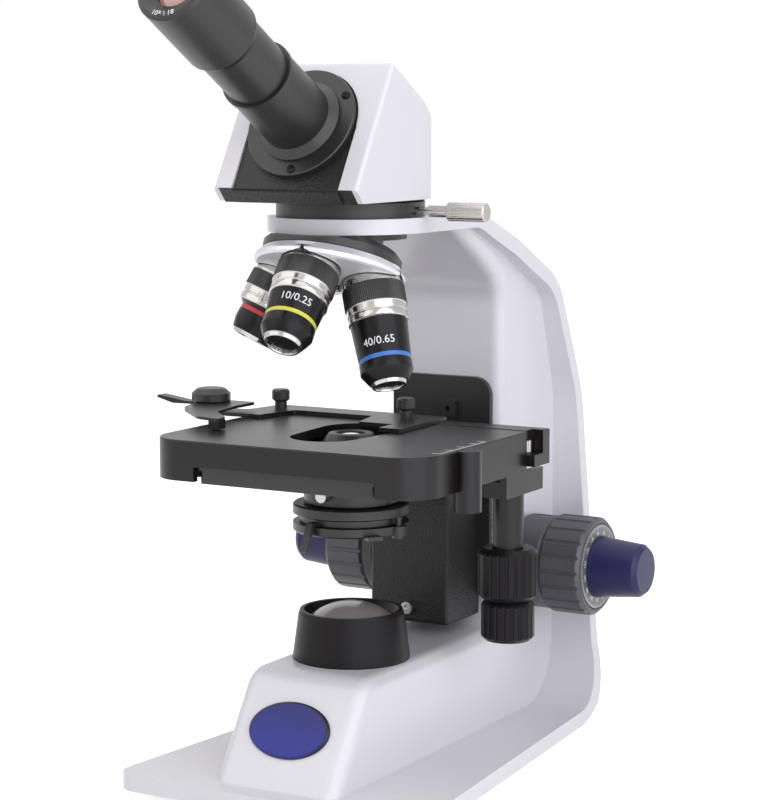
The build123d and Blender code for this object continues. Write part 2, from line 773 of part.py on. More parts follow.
def stage_top():
    """Moving top plate: a skin with a skirt, notched so that the fixed plate can pass."""
    bottom = stage_skirt_bottom
    skin_bottom = stage_top_z - stage_skin
    solid = plan(stage_plan(), bottom, stage_top_z)
    solid = fillet(solid.edges().group_by(Axis.Z)[-1].filter_by(
        lambda e: e.center().Y < stage_rear_y - 1), 0.8)
    side_boss = disc(post_radius, bottom - post_drop, stage_top_z - 0.4,
                     (stage_half_width + 1.9, post_y))
    hollow = plan(stage_plan(stage_skirt_wall), bottom - 1, skin_bottom)
    notch = block((tongue_left - 1.4, tongue_right + 1.4),
                  (stage_front_y - 1, stage_front_y + stage_skirt_wall + 1),
                  (bottom - 1, tongue_top + 0.3))
    plate = solid - hollow - notch + (side_boss - plan(stage_plan(stage_skirt_wall), bottom - 20,
                                                       skin_bottom))
    plate -= plan(stage_aperture(), skin_bottom - 1, stage_top_z + 1)
    plate -= disc(pinion_room_radius, bottom - 1, skin_bottom, (stage_drive_x, stage_drive_y))
    guide_y = (stage_front_y + stage_skirt_wall - 0.1, wide_plate_front_y - 20)
    for inner, outer in ((tongue_right + sliding_gap, tongue_right + 3.3),
                         (tongue_left - 3.3, tongue_left - sliding_gap)):
        plate += block((inner, outer), guide_y, (tongue_top - 4, skin_bottom + 0.1))
    for inner, outer in ((tongue_right - 6, tongue_right + 0.4), (tongue_left - 0.4, tongue_left + 6)):
        plate += block((inner, outer), guide_y, (tongue_top + 0.2, skin_bottom + 0.1))
    return plate


def x_guide_rail():
    """Rail along the back of the stage that the slide bar runs in."""
    low = rail_bottom
    shelf = bar_bottom - 0.3
    face = outline((stage_rear_y, low, 0), (rail_rear_y, low, 0), (rail_rear_y, stage_top_z, 0.8),
                   (bar_rear_y + 0.2, stage_top_z, 0), (bar_rear_y + 0.2, shelf, 0),
                   (stage_rear_y, shelf, 0))
    rail = side_profile(face, -stage_half_width, rail_right_x)
    rail += block((wide_plate_half_width + 1.9, rail_right_x), (stage_rear_y, rail_rear_y),
                  (low - 2.8, low + 0.1))
    return rail - x_pinion_room()


def x_pinion_room():
    """Room round the upper pinion and its shaft."""
    return disc(pinion_room_radius, stage_skirt_bottom, stage_top_z - 4,
                (stage_drive_x, stage_drive_y))


def drive_housing():
    """Block under the stage's right rear corner, with the tube that carries both drive shafts."""
    low = stage_skirt_bottom - 9
    body = block((49, stage_half_width), (16, 49), (low, stage_skirt_bottom))
    pinion_room = block((40, stage_half_width - stage_skirt_wall), (0, 60),
                        (stage_skirt_bottom - 2.4, stage_skirt_bottom + 1))
    at = (stage_drive_x, stage_drive_y)
    tube = disc(drive_tube_radius, y_knob_top + 0.4, low + 0.1, at)
    bore = disc(outer_shaft_radius + running_gap, y_knob_top - 1, stage_skirt_bottom + 1, at)
    round_room = disc(pinion_room_radius, stage_skirt_bottom - 1.2, stage_skirt_bottom + 1, at)
    return body - pinion_room - round_room + tube - bore


def y_pinion_shaft():
    """Outer drive shaft, a tube with the front-to-back pinion on its end."""
    at = (stage_drive_x, stage_drive_y)
    bore = inner_shaft_radius + running_gap
    low = lower_plate_top - lower_plate_thickness + 0.5
    shaft = disc(outer_shaft_radius, y_knob_top - 12, low, at) - disc(bore, 0, 200, at)
    teeth = Rot(0, 0, 0) * gear(drive_teeth, low, lower_plate_top - 0.6, bore)
    turn = pi_turn / drive_teeth / 2
    return shaft + Pos(at[0], at[1], 0) * (Rot(0, 0, turn) * teeth)


def y_knob():
    at = (stage_drive_x, stage_drive_y)
    knob = ribbed(y_knob_radius, y_knob_bottom, y_knob_top, 22, 0.8, 2.2)
    knob -= disc(outer_shaft_radius, y_knob_top - 12, y_knob_top + 1)
    knob -= disc(inner_shaft_radius + 1, y_knob_bottom - 1, y_knob_top)
    return Pos(at[0], at[1], 0) * knob


def x_pinion_shaft():
    """Inner drive shaft, with the sideways pinion on its top."""
    at = (stage_drive_x, stage_drive_y)
    low = stage_skirt_bottom + 6.2
    shaft = disc(inner_shaft_radius, x_knob_bottom + 4, low, at)
    turn = pi_turn / drive_teeth / 2
    teeth = gear(drive_teeth, low, low + 4.6, 0.01)
    return shaft + Pos(at[0], at[1], 0) * (Rot(0, 0, turn) * teeth)


def x_knob():
    at = (stage_drive_x, stage_drive_y)
    knob = ribbed(x_knob_radius, x_knob_bottom, y_knob_bottom - 0.4, 20, 0.8, 1.8)
    knob -= disc(inner_shaft_radius, x_knob_bottom + 4, y_knob_top)
    return Pos(at[0], at[1], 0) * knob


def slide_bar():
    """Bar that carries the slide holder along the rail."""
    low = bar_bottom
    top = stage_top_z + holder_lift
    face = outline((bar_rear_y, low, 0), (bar_rear_y, top, 0), (bar_front_y, top, 0.5),
                   (bar_front_y, rack_top + 0.3, 0), (rack_back_y, rack_top + 0.3, 0),
                   (rack_back_y, low, 0))
    return side_profile(face, -60, bar_right_x)


def x_rack():
    """White rack on the front of the bar, for the sideways drive."""
    pitch_line = stage_drive_y + tooth_module * drive_teeth / 2
    pitch = tooth_module * pi
    teeth = rack(96, rack_top - bar_bottom - 0.1, rack_back_y - pitch_line)
    left = Pos(stage_drive_x - 14 * pitch, pitch_line, bar_bottom + 0.1) * teeth
    right = Pos(stage_drive_x - 22 * pitch, pitch_line, bar_bottom + 0.1) * teeth
    keep = block((-58, bar_right_x), (pitch_line - 3, rack_back_y), (bar_bottom, rack_top))
    return (left + right) & keep


def slide_holder():
    """L-shaped plate on the stage that the slide lies against."""
    low = stage_top_z + holder_lift
    seat = slide_seat_y
    right = slide_right_x
    arm_left = clamp_x - clamp_knob_radius
    face = outline((arm_left, clamp_y - 6, 4), (-66, clamp_y - 6, 0), (-60, seat - 2, 2),
                   (-52, seat - 2, 1), (-47, 33, 2), (-9, 33, 1), (-5, seat, 0), (right, seat, 0),
                   (right, 3.5, 0), (right + 10, 3.5, 1), (right + 8.5, 46, 1), (-62, 46, 2),
                   (-66, clamp_y + 7, 4), (arm_left, clamp_y + 7, 6))
    plate = plan(face, low, low + holder_thickness)
    at = (clamp_x, clamp_y)
    boss = disc(clamp_knob_radius - 2.5, low + holder_thickness, clamp_bottom - 0.3, at)
    return plate + boss + disc(clamp_pin_radius, low, clamp_bottom + 4, at)


def holder_screws():
    """Two knurled screws that hold the plate on the bar."""
    low = stage_top_z + holder_lift + holder_thickness
    screw = turned((0, low), (2.6, low), (2.6, low + 2.6), (3.4, low + 3), (3.8, low + 3.6),
                   (3.8, low + 7), (3.2, low + 7.8), (0, low + 7.9))
    grooves = PolarLocations(4.2, 14) * disc(0.6, low + 2.8, low + 9)
    screw -= grooves
    return [Pos(x, 38.6, 0) * screw for x in holder_screw_places]


def clamp_finger():
    """Sprung sickle that presses the slide's corner, with its finger lever."""
    low = clamp_bottom
    plate = outline((clamp_x - 8, clamp_y - 7, 6), (clamp_x + 18, clamp_y - 5.5, 1),
                    (clamp_x + 18, clamp_y + 6.5, 1), (clamp_x - 4, clamp_y + 7, 6))
    hook = outline((clamp_x - 6, clamp_y + 2, 4), (clamp_x + 1, clamp_y - 23, 22),
                   (-58, -25, 10), (-45.5, -28, 1), (-47, -21, 1), (-59, -9, 8),
                   (-62, clamp_y - 10, 3), (-63, clamp_y + 2, 3))
    body = plan(plate, low, low + clamp_thickness) + plan(hook, low, low + clamp_thickness)
    body += side_lever() + hook_tip()
    return body - disc(clamp_pin_radius + running_gap, low - 5, low + 10, (clamp_x, clamp_y))


def hook_tip():
    """End of the sickle, turned down to the level of the slide."""
    return block((-51.5, -46.5), (-26.5, -21.5), (stage_top_z + 0.5, clamp_bottom + 0.2))


def side_lever():
    """Lever to the left of the clamp knob, which rises to its end."""
    low = clamp_bottom
    face = outline((clamp_x - 25, low + 1.9, 0.4), (clamp_x - 17, low - 0.2, 8), (clamp_x - 4, low, 0),
                   (clamp_x - 4, low + clamp_thickness, 0), (clamp_x - 11, low + clamp_thickness, 0),
                   (clamp_x - 24.7, low + 3.0, 0.4))
    return Pos(0, clamp_y + 1, 0) * extrude(Plane.XZ * face, 5.5)


def clamp_knob():
    low = clamp_bottom + clamp_thickness
    r = clamp_knob_radius
    knob = turned((0, low), (r - 0.4, low), (r, low + 0.5), (r, low + 3.6), (r - 2, low + 5.4),
                  (r - 3.2, low + 5.8), (0, low + 5.9))
    knob -= disc(clamp_pin_radius + running_gap, low - 1, clamp_bottom + 4.2)
    return Pos(clamp_x, clamp_y, 0) * knob


def nosepiece_mount():
    """Fixed shell of the turret, cut level where it meets the arm's ring."""
    shell = turned((0, disc_top + 0.3), (shell_radius, disc_top + 0.3), (shell_radius, disc_top + 3.4),
                   (shell_radius - 2.4, disc_top + 6), (19, disc_top + 6), (19, 40), (0, 40))
    body = placed(turret_frame(), shell) & block((-40, 40), (-60, 40), (180, ring_bottom))
    flange = disc(22.5, ring_bottom - 3, ring_bottom)
    body += flange
    body -= disc(light_bore, 180, ring_bottom + 1)
    body -= placed(turret_frame(), disc(pivot_radius, 0, disc_top + 7.5))
    return body


def nosepiece_turret():
    """Turning disc with four threaded ports, each square to its objective."""
    r = disc_radius
    body = turned((0, disc_top), (shell_radius, disc_top), (r, disc_top - 3), (r, 0.9), (r - 1, 0.2),
                  (8, turret_nose), (0, turret_nose))
    ports = [port_in_turret(turret_turn + 90 * k) for k in range(4)]
    for port in ports:
        body += placed(port, disc(socket_radius, -4, 0)) & disc(r - 0.6, -12, disc_top - 0.2)
    for port in ports:
        body -= placed(port, disc(socket_radius + 0.3, 0, 20))
    for port in ports:
        body -= placed(port, disc(port_thread_radius, -20, 1))
    body -= disc(pivot_radius + running_gap, turret_nose - 1, disc_top + 1)
    notch = Pos(0, r + 0.6, 0) * disc(1.2, -8, 8)
    for k in range(4):
        body -= Rot(0, 0, -90 * k - turret_turn) * notch
    return placed(turret_frame(), body)


def turret_pivot_screw():
    """Shoulder screw the turret turns on."""
    screw = turned((0, -6.8), (6.4, -6.8), (6.4, -4.9), (pivot_radius, -4.9),
                   (pivot_radius, disc_top + 7.5), (0, disc_top + 7.5))
    slot = Pos(0, 0, -6.6) * Box(14, 1.4, 1.2)
    return placed(turret_frame(), screw - slot)


def objective(port, length, grip_end, body_radius, nose_radius):
    """Objective hanging from one port: collar, grip, band, tapered body and nose."""
    bore = nose_radius - 1.6
    thread = port_thread_radius - 0.08
    band_end = grip_end + 6
    profile = [(bore, -1.8), (thread, -1.8), (thread, 0.0), (collar_radius, 0.0),
               (collar_radius, collar_end - 0.3), (grip_radius, collar_end), (grip_radius, grip_end),
               (band_radius, grip_end + 0.3), (band_radius, grip_end + 2.6),
               (band_radius - 0.3, grip_end + 2.8), (band_radius - 0.3, grip_end + 3.2),
               (band_radius, grip_end + 3.4), (band_radius, band_end - 0.3),
               (band_radius - 0.6, band_end), (body_radius, length - 11.4),
               (body_radius - 0.25, length - 11.2), (body_radius - 0.25, length - 9.6),
               (body_radius, length - 9.4), (body_radius, length - 5.6),
               (nose_radius + 0.4, length - 1.4), (nose_radius, length - 1.4),
               (nose_radius - 0.5, length), (bore, length)]
    return at_port(port, turned(*profile))


def objective_4x():
    return objective(turret_turn - 90, *objective_sizes[0])


def objective_10x():
    return objective(turret_turn + 180, *objective_sizes[1])


def objective_40x():
    return objective(turret_turn + 90, *objective_sizes[2])


def objective_lenses():
    """Front lenses of the three objectives."""
    lenses = []
    for turn, (length, grip_end, body_radius, nose_radius) in zip((-90, 180, 90), objective_sizes):
        lens = disc(nose_radius - 1.62, length - 2.2, length - 0.7)
        lenses.append(at_port(turret_turn + turn, lens))
    return lenses


def head_socket():
    """Fixed black ring on the arm with the dovetail seat for the head."""
    inner_low = dovetail_foot_radius + sliding_gap + 0.2
    inner_high = dovetail_neck_radius + sliding_gap + 0.2
    ring = turned((inner_low, ring_top), (socket_ring_radius, ring_top),
                  (socket_ring_radius, socket_ring_top - 0.4), (socket_ring_radius - 0.4, socket_ring_top),
                  (inner_high, socket_ring_top), (inner_low, ring_top + 1.4))
    return ring - lying(Cylinder(clamp_screw_radius + running_gap, 40), 0, clamp_screw_z, 30)


def head_clamp_screw():
    """Knurled thumb screw that holds the head."""
    start = dovetail_foot_radius + 0.2
    head = ribbed(clamp_screw_head_radius, clamp_screw_head_x, clamp_screw_end_x, 18, 0.35, 0.5)
    shank = disc(clamp_screw_radius, start, clamp_screw_head_x + 1)
    neck = disc(2.3, 36, clamp_screw_head_x + 0.5)
    return lying(head + shank + neck, 0, clamp_screw_z)


def head_plan(inset):
    half = head_half_width - inset
    depth = -head_front_y + 10
    return Pos(0, -depth / 2) * Rectangle(2 * half, depth) + Circle(half)


def head_side(inset):
    """Side view of the head: a short chamfer, a front square to the tube and a top along it."""
    rise = tan(radians(tube_rise))
    lean = cos(radians(tube_rise))
    front = head_front_y + inset / lean
    crown_y = head_crown_y + inset * (1 - rise)
    crown_z = head_crown_z - inset * (1 + rise)
    back = head_half_width + 5
    return outline((front + (head_crease_z - head_bottom) * 0.92, head_bottom - 10, 0),
                   (front + (head_crease_z - head_bottom) * 0.92, head_bottom, 0),
                   (front, head_crease_z, 0), (crown_y, crown_z, 0),
                   (back, crown_z - (back - crown_y) * rise, 0), (back, head_bottom - 10, 0))


def head_envelope(inset, bottom):
    """Outer form of the head above a height, with its round back."""
    return plan(head_plan(inset), bottom, 330) & side_profile(head_side(inset), -40, 40)


def head_cover():
    """White cover of the head, open below and in front."""
    low = head_bottom + head_lip
    outside = head_envelope(0, low)
    outside = fillet(outside.edges().filter_by(lambda e: e.center().Z > head_crease_z + 2), 1.6)
    inside = head_envelope(head_wall, low - 5)
    mouth_face = Circle(flange_radius + 0.6) + Pos(0, -30) * Rectangle(2 * mouth_half_width, 60)
    mouth = placed(head_frame(), Pos(0, 0, -12) * extrude(mouth_face, 20))
    mouth &= block((-40, 40), (-90, 40), (head_crease_z, 330))
    foot_half = head_half_width - head_wall
    foot_opening = block((-foot_half, foot_half), (head_front_y - 5, head_front_y + 12),
                         (low - 5, head_crease_z))
    return outside - inside - mouth - foot_opening


def head_base():
    """Black body of the head: bottom plate, front panel and dovetail."""
    low = head_bottom
    inner_half = head_half_width - head_wall
    plate = head_envelope(head_wall, low) & plan(head_plan(0), low, low + head_plate_thickness)
    plate += head_envelope(0, low) & block((-inner_half, inner_half),
                                           (head_front_y - 5, head_front_y + 12),
                                           (low, head_crease_z))
    panel_half = mouth_half_width - sliding_gap
    panel_face = Circle(flange_radius + 0.3) + Pos(0, -30) * Rectangle(2 * panel_half, 60)
    panel = placed(head_frame(), Pos(0, 0, -flange_thickness - 9) * extrude(panel_face, 9))
    panel &= head_envelope(-1, low)
    spigot = turned((12, ring_top + 0.6), (dovetail_foot_radius, ring_top + 0.6),
                    (dovetail_foot_radius, ring_top + 1.6),
                    (dovetail_neck_radius, socket_ring_top + 0.1), (dovetail_neck_radius, low + 0.1),
                    (12, low + 0.1))
    body = plate + panel + spigot
    body -= disc(12, 200, low + 10)
    return body - placed(head_frame(), disc(12.5, -30, 5))


def head_prism():
    """Prism that turns the light from the optical axis into the tube."""
    low = head_bottom + head_plate_thickness
    top = 262.0
    side = outline((-11, low, 0), (11, low, 0), (14, low + 6, 0), (2, top, 0), (-17, 258, 0))
    return side_profile(side, -prism_side / 2, prism_side / 2)


def eyepiece_tube():
    """Flanged tube that the eyepiece slides into."""
    r = tube_radius
    profile = turned((tube_bore, -flange_thickness), (flange_radius, -flange_thickness),
                     (flange_radius, -0.4), (flange_radius - 0.4, 0), (17.2, 0), (17.2, 1.2),
                     (r, 4.0), (r - 0.3, tube_length - 2.4), (r + 0.2, tube_length - 2.0),
                     (r + 0.2, tube_length), (tube_bore, tube_length))
    return placed(head_frame(), profile)


def eyepiece_barrel():
    """Eyepiece: the plug inside the tube, the narrow neck and the wide top."""
    plug = tube_bore - running_gap
    neck = eyepiece_neck_radius
    top = eyepiece_top_radius
    start = tube_length + 0.3
    profile = turned((9.8, 10), (plug, 10), (plug, start), (neck, start), (neck, eyepiece_neck_end),
                     (top, eyepiece_neck_end + 3.4), (top, eyepiece_end - 1.4),
                     (top - 1, eyepiece_end - 0.4), (top - 2, eyepiece_end),
                     (eye_lens_radius + 3.2, eyepiece_end - 0.6), (eye_lens_radius, eyepiece_end - 2.6),
                     (eye_lens_radius, eyepiece_end - 8), (9.8, eyepiece_end - 10))
    return placed(head_frame(), profile)


def eyepiece_lens():
    lens = domed_lens(eye_lens_radius - 0.05, eyepiece_end - 8, 3.2, 1.2)
    return placed(head_frame(), lens)


def brightness_dial():
    """Knurled dial of the lamp's dimmer."""
    face = arm_half_width + 0.5
    dial = ribbed(dial_radius, face, face + dial_stand_out, 24, 0.6, 1.2)
    dial += disc(3.0, face - 12, face + 1)
    return mirror(lying(dial, dial_y, dial_z), Plane.YZ)


pieces = {
    "base_arm_casting": base_arm_casting,
    "bottom_cover": bottom_cover,
    "rubber_feet": rubber_feet,
    "illuminator_collar": illuminator_collar,
    "field_lens": field_lens,
    "led_module": led_module,
    "dc_inlet": dc_inlet,
    "badge": badge,
    "focus_guides": focus_guides,
    "shaft_bushes": shaft_bushes,
    "head_socket": head_socket,
    "nosepiece_mount": nosepiece_mount,
    "head_clamp_screw": head_clamp_screw,
    "brightness_dial": brightness_dial,
    "tension_ring": tension_ring,
    "coarse_pinion_shaft": coarse_pinion_shaft,
    "coarse_knob_right": coarse_knob_right,
    "coarse_knob_left": coarse_knob_left,
    "focus_scale_ring": focus_scale_ring,
    "fine_shaft": fine_shaft,
    "fine_knobs": fine_knobs,
    "carrier_slide": carrier_slide,
    "dust_plate": dust_plate,
    "carrier_bracket": carrier_bracket,
    "carrier_screws": carrier_screws,
    "stop_block": stop_block,
    "lower_stage_plate": lower_stage_plate,
    "condenser_mount": condenser_mount,
    "condenser_body": condenser_body,
    "condenser_lens": condenser_lens,
    "iris_leaves": iris_leaves,
    "filter_hinge": condenser_collar,
    "iris_ring": iris_ring,
    "filter_holder": filter_holder,
    "filter_glass": filter_glass,
    "stage_top": stage_top,
    "x_guide_rail": x_guide_rail,
    "drive_housing": drive_housing,
    "y_pinion_shaft": y_pinion_shaft,
    "y_knob": y_knob,
    "x_pinion_shaft": x_pinion_shaft,
    "x_knob": x_knob,
    "slide_bar": slide_bar,
    "x_rack": x_rack,
    "slide_holder": slide_holder,
    "holder_screws": holder_screws,
    "clamp_finger": clamp_finger,
    "clamp_knob": clamp_knob,
    "nosepiece_turret": nosepiece_turret,
    "turret_pivot_screw": turret_pivot_screw,
    "objective_4x": objective_4x,
    "objective_10x": objective_10x,
    "objective_40x": objective_40x,
    "objective_lenses": objective_lenses,
    "head_base": head_base,
    "head_cover": head_cover,
    "head_prism": head_prism,
    "eyepiece_tube": eyepiece_tube,
    "eyepiece_barrel": eyepiece_barrel,
    "eyepiece_lens": eyepiece_lens,
}

os.makedirs("parts", exist_ok=True)
to_origin = Pos(optical_axis_x, optical_axis_y, 0)
for name, make in pieces.items():
    made = make()
    solids = made if isinstance(made, list) else made.solids()
    moved = [to_origin * s for s in solids]
    whole = moved[0] if len(moved) == 1 else Compound(children=moved)
    export_step(whole, f"parts/{name}.step")
    print(name, len(moved))
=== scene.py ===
"""Looks of a monocular teaching microscope, laid out as a Blender add-on and run as a script."""

import json
from math import atan2, cos, pi, radians, sin, tan

import bmesh
import bpy
from bpy.props import (FloatProperty, FloatVectorProperty, IntProperty, PointerProperty,
                       StringProperty)
from mathutils import Matrix, Vector


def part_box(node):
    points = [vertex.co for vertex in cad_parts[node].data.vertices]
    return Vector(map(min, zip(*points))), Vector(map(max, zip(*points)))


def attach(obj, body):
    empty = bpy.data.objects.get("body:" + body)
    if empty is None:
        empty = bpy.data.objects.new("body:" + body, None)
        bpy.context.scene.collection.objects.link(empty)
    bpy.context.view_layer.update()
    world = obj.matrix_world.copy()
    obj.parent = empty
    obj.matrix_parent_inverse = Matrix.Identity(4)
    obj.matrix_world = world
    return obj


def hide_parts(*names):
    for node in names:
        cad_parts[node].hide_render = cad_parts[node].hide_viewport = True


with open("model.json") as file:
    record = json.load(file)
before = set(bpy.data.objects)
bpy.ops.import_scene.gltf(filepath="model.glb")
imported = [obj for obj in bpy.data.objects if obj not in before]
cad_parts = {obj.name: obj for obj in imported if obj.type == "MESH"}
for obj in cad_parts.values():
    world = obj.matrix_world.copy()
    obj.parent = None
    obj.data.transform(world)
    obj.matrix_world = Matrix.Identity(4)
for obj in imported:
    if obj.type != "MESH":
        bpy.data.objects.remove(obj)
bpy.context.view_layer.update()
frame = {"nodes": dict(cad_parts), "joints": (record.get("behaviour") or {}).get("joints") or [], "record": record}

bl_info = {
    "name": "Teaching microscope",
    "version": (1, 0, 0),
    "blender": (4, 5, 0),
    "location": "3D View > Sidebar > Microscope",
    "description": "Finishes, marks and lights for an upright teaching microscope",
    "category": "Object",
}

NODES = frame["nodes"]
SLOTS = {part["node"]: part["material_slot"] for part in frame["record"]["subparts"]}
JOINTS = {joint["name"]: joint for joint in frame["joints"]}
MM = 0.001


def joint_place(name):
    joint = JOINTS[name]
    return Vector(joint["pos_m"]), Vector(joint["axis"]).normalized()


def middle(node):
    low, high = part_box(node)
    return (Vector(low) + Vector(high)) / 2


AXIS = middle("illuminator_collar")     # the optical axis stands over the lamp


def at(x, y, z):
    """Point in millimetres from the optical axis and the table top."""
    return Vector((AXIS.x + x * MM, AXIS.y + y * MM, z * MM))


# Shader groups ----------------------------------------------------------------------------------

class Group:
    """Node group under construction, with short calls for its sockets, nodes and links."""

    def __init__(self, name):
        self.tree = bpy.data.node_groups.new(name, "ShaderNodeTree")
        self.inputs = self.tree.nodes.new("NodeGroupInput")
        self.outputs = self.tree.nodes.new("NodeGroupOutput")

    def socket(self, name, default=None, out=False):
        made = self.tree.interface.new_socket(name=name, in_out="OUTPUT" if out else "INPUT",
                                              socket_type="NodeSocketFloat")
        if default is not None:
            made.default_value = default

    def node(self, kind, **settings):
        made = self.tree.nodes.new(kind)
        for key, value in settings.items():
            setattr(made, key, value)
        return made

    def math(self, operation, a, b=0.0, clamp=False):
        made = self.node("ShaderNodeMath", operation=operation, use_clamp=clamp)
        for socket, value in zip(made.inputs, (a, b)):
            self.feed(value, socket)
        return made.outputs[0]

    def feed(self, value, socket):
        if isinstance(value, bpy.types.NodeSocket):
            self.tree.links.new(value, socket)
        else:
            socket.default_value = value


DRIFT_SHARE, GRAIN_SHARE = 0.7, 0.3    # of slow drift and fine grain in the tone
GRIT_RATIO = 1.7                       # scale of the grit to that of the cells
CELL_HEIGHT = -0.8                     # a cell's middle stands above its rim
EDGE_GAIN = 5.0
PATCH_SCALE = 240.0                    # of the noise that breaks up rubbed edges
DUST_FROM, DUST_GAIN = 0.6, 2.5        # dust starts at this upward lean of a face
CLOUD_SCALE = 60.0                     # of the noise in the dust


def grain_group():
    """Fine surface grain over slow drift of tone."""
    group = Group("fine grain")
    group.socket("Scale", default=900.0)
    group.socket("Drift Scale", default=30.0)
    group.socket("Sharpness", default=0.5)
    group.socket("Height", out=True)
    group.socket("Tone", out=True)
    place = group.node("ShaderNodeTexCoord").outputs["Object"]
    fine = group.node("ShaderNodeTexNoise")
    fine.inputs["Detail"].default_value = 3.0
    slow = group.node("ShaderNodeTexNoise")
    slow.inputs["Detail"].default_value = 2.0
    group.feed(place, fine.inputs["Vector"])
    group.feed(place, slow.inputs["Vector"])
    group.feed(group.inputs.outputs["Scale"], fine.inputs["Scale"])
    group.feed(group.inputs.outputs["Sharpness"], fine.inputs["Roughness"])
    group.feed(group.inputs.outputs["Drift Scale"], slow.inputs["Scale"])
    group.feed(fine.outputs[0], group.outputs.inputs["Height"])
    tone = group.math("ADD", group.math("MULTIPLY", slow.outputs[0], DRIFT_SHARE),
                      group.math("MULTIPLY", fine.outputs[0], GRAIN_SHARE))
    group.feed(tone, group.outputs.inputs["Tone"])
    return group.tree


def crackle_group():
    """Raised cells of crackle paint."""
    group = Group("crackle")
    group.socket("Scale", default=1100.0)
    group.socket("Height", out=True)
    place = group.node("ShaderNodeTexCoord").outputs["Object"]
    cells = group.node("ShaderNodeTexVoronoi", feature="SMOOTH_F1")
    cells.inputs["Smoothness"].default_value = 0.6
    grit = group.node("ShaderNodeTexNoise")
    grit.inputs["Detail"].default_value = 4.0
    group.feed(place, cells.inputs["Vector"])
    group.feed(place, grit.inputs["Vector"])
    group.feed(group.inputs.outputs["Scale"], cells.inputs["Scale"])
    group.feed(group.math("MULTIPLY", group.inputs.outputs["Scale"], GRIT_RATIO),
               grit.inputs["Scale"])
    lumps = group.math("MULTIPLY", cells.outputs["Distance"], CELL_HEIGHT)
    group.feed(group.math("ADD", lumps, grit.outputs[0]), group.outputs.inputs["Height"])
    return group.tree


def wear_group():
    """Mask of handled edges, broken up by noise."""
    group = Group("edge wear")
    group.socket("Radius", default=0.0006)
    group.socket("Amount", default=0.5)
    group.socket("Mask", out=True)
    rounded = group.node("ShaderNodeBevel", samples=4)
    group.feed(group.inputs.outputs["Radius"], rounded.inputs["Radius"])
    flat = group.node("ShaderNodeNewGeometry").outputs["True Normal"]
    facing = group.node("ShaderNodeVectorMath", operation="DOT_PRODUCT")
    group.feed(rounded.outputs[0], facing.inputs[0])
    group.feed(flat, facing.inputs[1])
    edge = group.math("SUBTRACT", 1.0, facing.outputs["Value"])
    edge = group.math("MULTIPLY", edge, EDGE_GAIN, clamp=True)
    patches = group.node("ShaderNodeTexNoise")
    patches.inputs["Scale"].default_value = PATCH_SCALE
    group.feed(group.node("ShaderNodeTexCoord").outputs["Object"], patches.inputs["Vector"])
    edge = group.math("MULTIPLY", edge, patches.outputs[0])
    group.feed(group.math("MULTIPLY", edge, group.inputs.outputs["Amount"], clamp=True),
               group.outputs.inputs["Mask"])
    return group.tree


def dust_group():
    """Mask of thin dust on faces that look up."""
    group = Group("settled dust")
    group.socket("Amount", default=0.1)
    group.socket("Mask", out=True)
    normal = group.node("ShaderNodeNewGeometry").outputs["Normal"]
    split = group.node("ShaderNodeSeparateXYZ")
    group.feed(normal, split.inputs[0])
    up = group.math("SUBTRACT", split.outputs["Z"], DUST_FROM)
    up = group.math("MULTIPLY", up, DUST_GAIN, clamp=True)
    cloud = group.node("ShaderNodeTexNoise")
    cloud.inputs["Scale"].default_value = CLOUD_SCALE
    cloud.inputs["Detail"].default_value = 5.0
    group.feed(group.node("ShaderNodeTexCoord").outputs["Object"], cloud.inputs["Vector"])
    mask = group.math("MULTIPLY", up, cloud.outputs[0])
    group.feed(group.math("MULTIPLY", mask, group.inputs.outputs["Amount"], clamp=True),
               group.outputs.inputs["Mask"])
    return group.tree


GROUP_MAKERS = {"grain": grain_group, "crackle": crackle_group, "wear": wear_group,
                "dust": dust_group}
GROUPS = {}


def group_tree(name):
    if name not in GROUPS:
        GROUPS[name] = GROUP_MAKERS[name]()
    return GROUPS[name]


# Materials --------------------------------------------------------------------------------------

class Finish:
    """Material under construction around one Principled shader."""

    def __init__(self, name):
        self.material = bpy.data.materials.new(name)
        self.material.use_nodes = True
        self.tree = self.material.node_tree
        self.shader = self.tree.nodes["Principled BSDF"]

    def node(self, kind, **settings):
        made = self.tree.nodes.new(kind)
        for key, value in settings.items():
            setattr(made, key, value)
        return made

    def link(self, output, target):
        socket = self.shader.inputs[target] if isinstance(target, str) else target
        self.tree.links.new(output, socket)

    def group(self, name, **values):
        made = self.node("ShaderNodeGroup", node_tree=group_tree(name))
        for key, value in values.items():
            made.inputs[key.replace("_", " ")].default_value = value
        return made

    def mix(self, factor, first, second):
        made = self.node("ShaderNodeMix", data_type="RGBA")
        self.tree.links.new(factor, made.inputs["Factor"])
        for socket, value in ((made.inputs["A"], first), (made.inputs["B"], second)):
            if isinstance(value, bpy.types.NodeSocket):
                self.tree.links.new(value, socket)
            else:
                socket.default_value = (*value, 1.0)
        return made.outputs["Result"]

    def span(self, value, low, high):
        made = self.node("ShaderNodeMapRange")
        made.inputs["To Min"].default_value = low
        made.inputs["To Max"].default_value = high
        self.tree.links.new(value, made.inputs["Value"])
        return made.outputs[0]

    def bump(self, height, distance, strength=1.0):
        made = self.node("ShaderNodeBump")
        made.inputs["Strength"].default_value = strength
        made.inputs["Distance"].default_value = distance
        self.tree.links.new(height, made.inputs["Height"])
        self.link(made.outputs[0], "Normal")
        return made

    def constants(self, **values):
        for key, value in values.items():
            self.shader.inputs[key.replace("_", " ")].default_value = value
        return self


CRACKLE_DEPTH = 0.00028     # metres, like the next one
METAL_GRAIN = 0.000004
CRACKLE_RUBBED = (0.12, 0.12, 0.12)
DUST_COLOUR = (0.55, 0.53, 0.5)
STEEL = (0.62, 0.61, 0.6)


def shade(colour, factor):
    return tuple(min(1.0, channel * factor) for channel in colour)


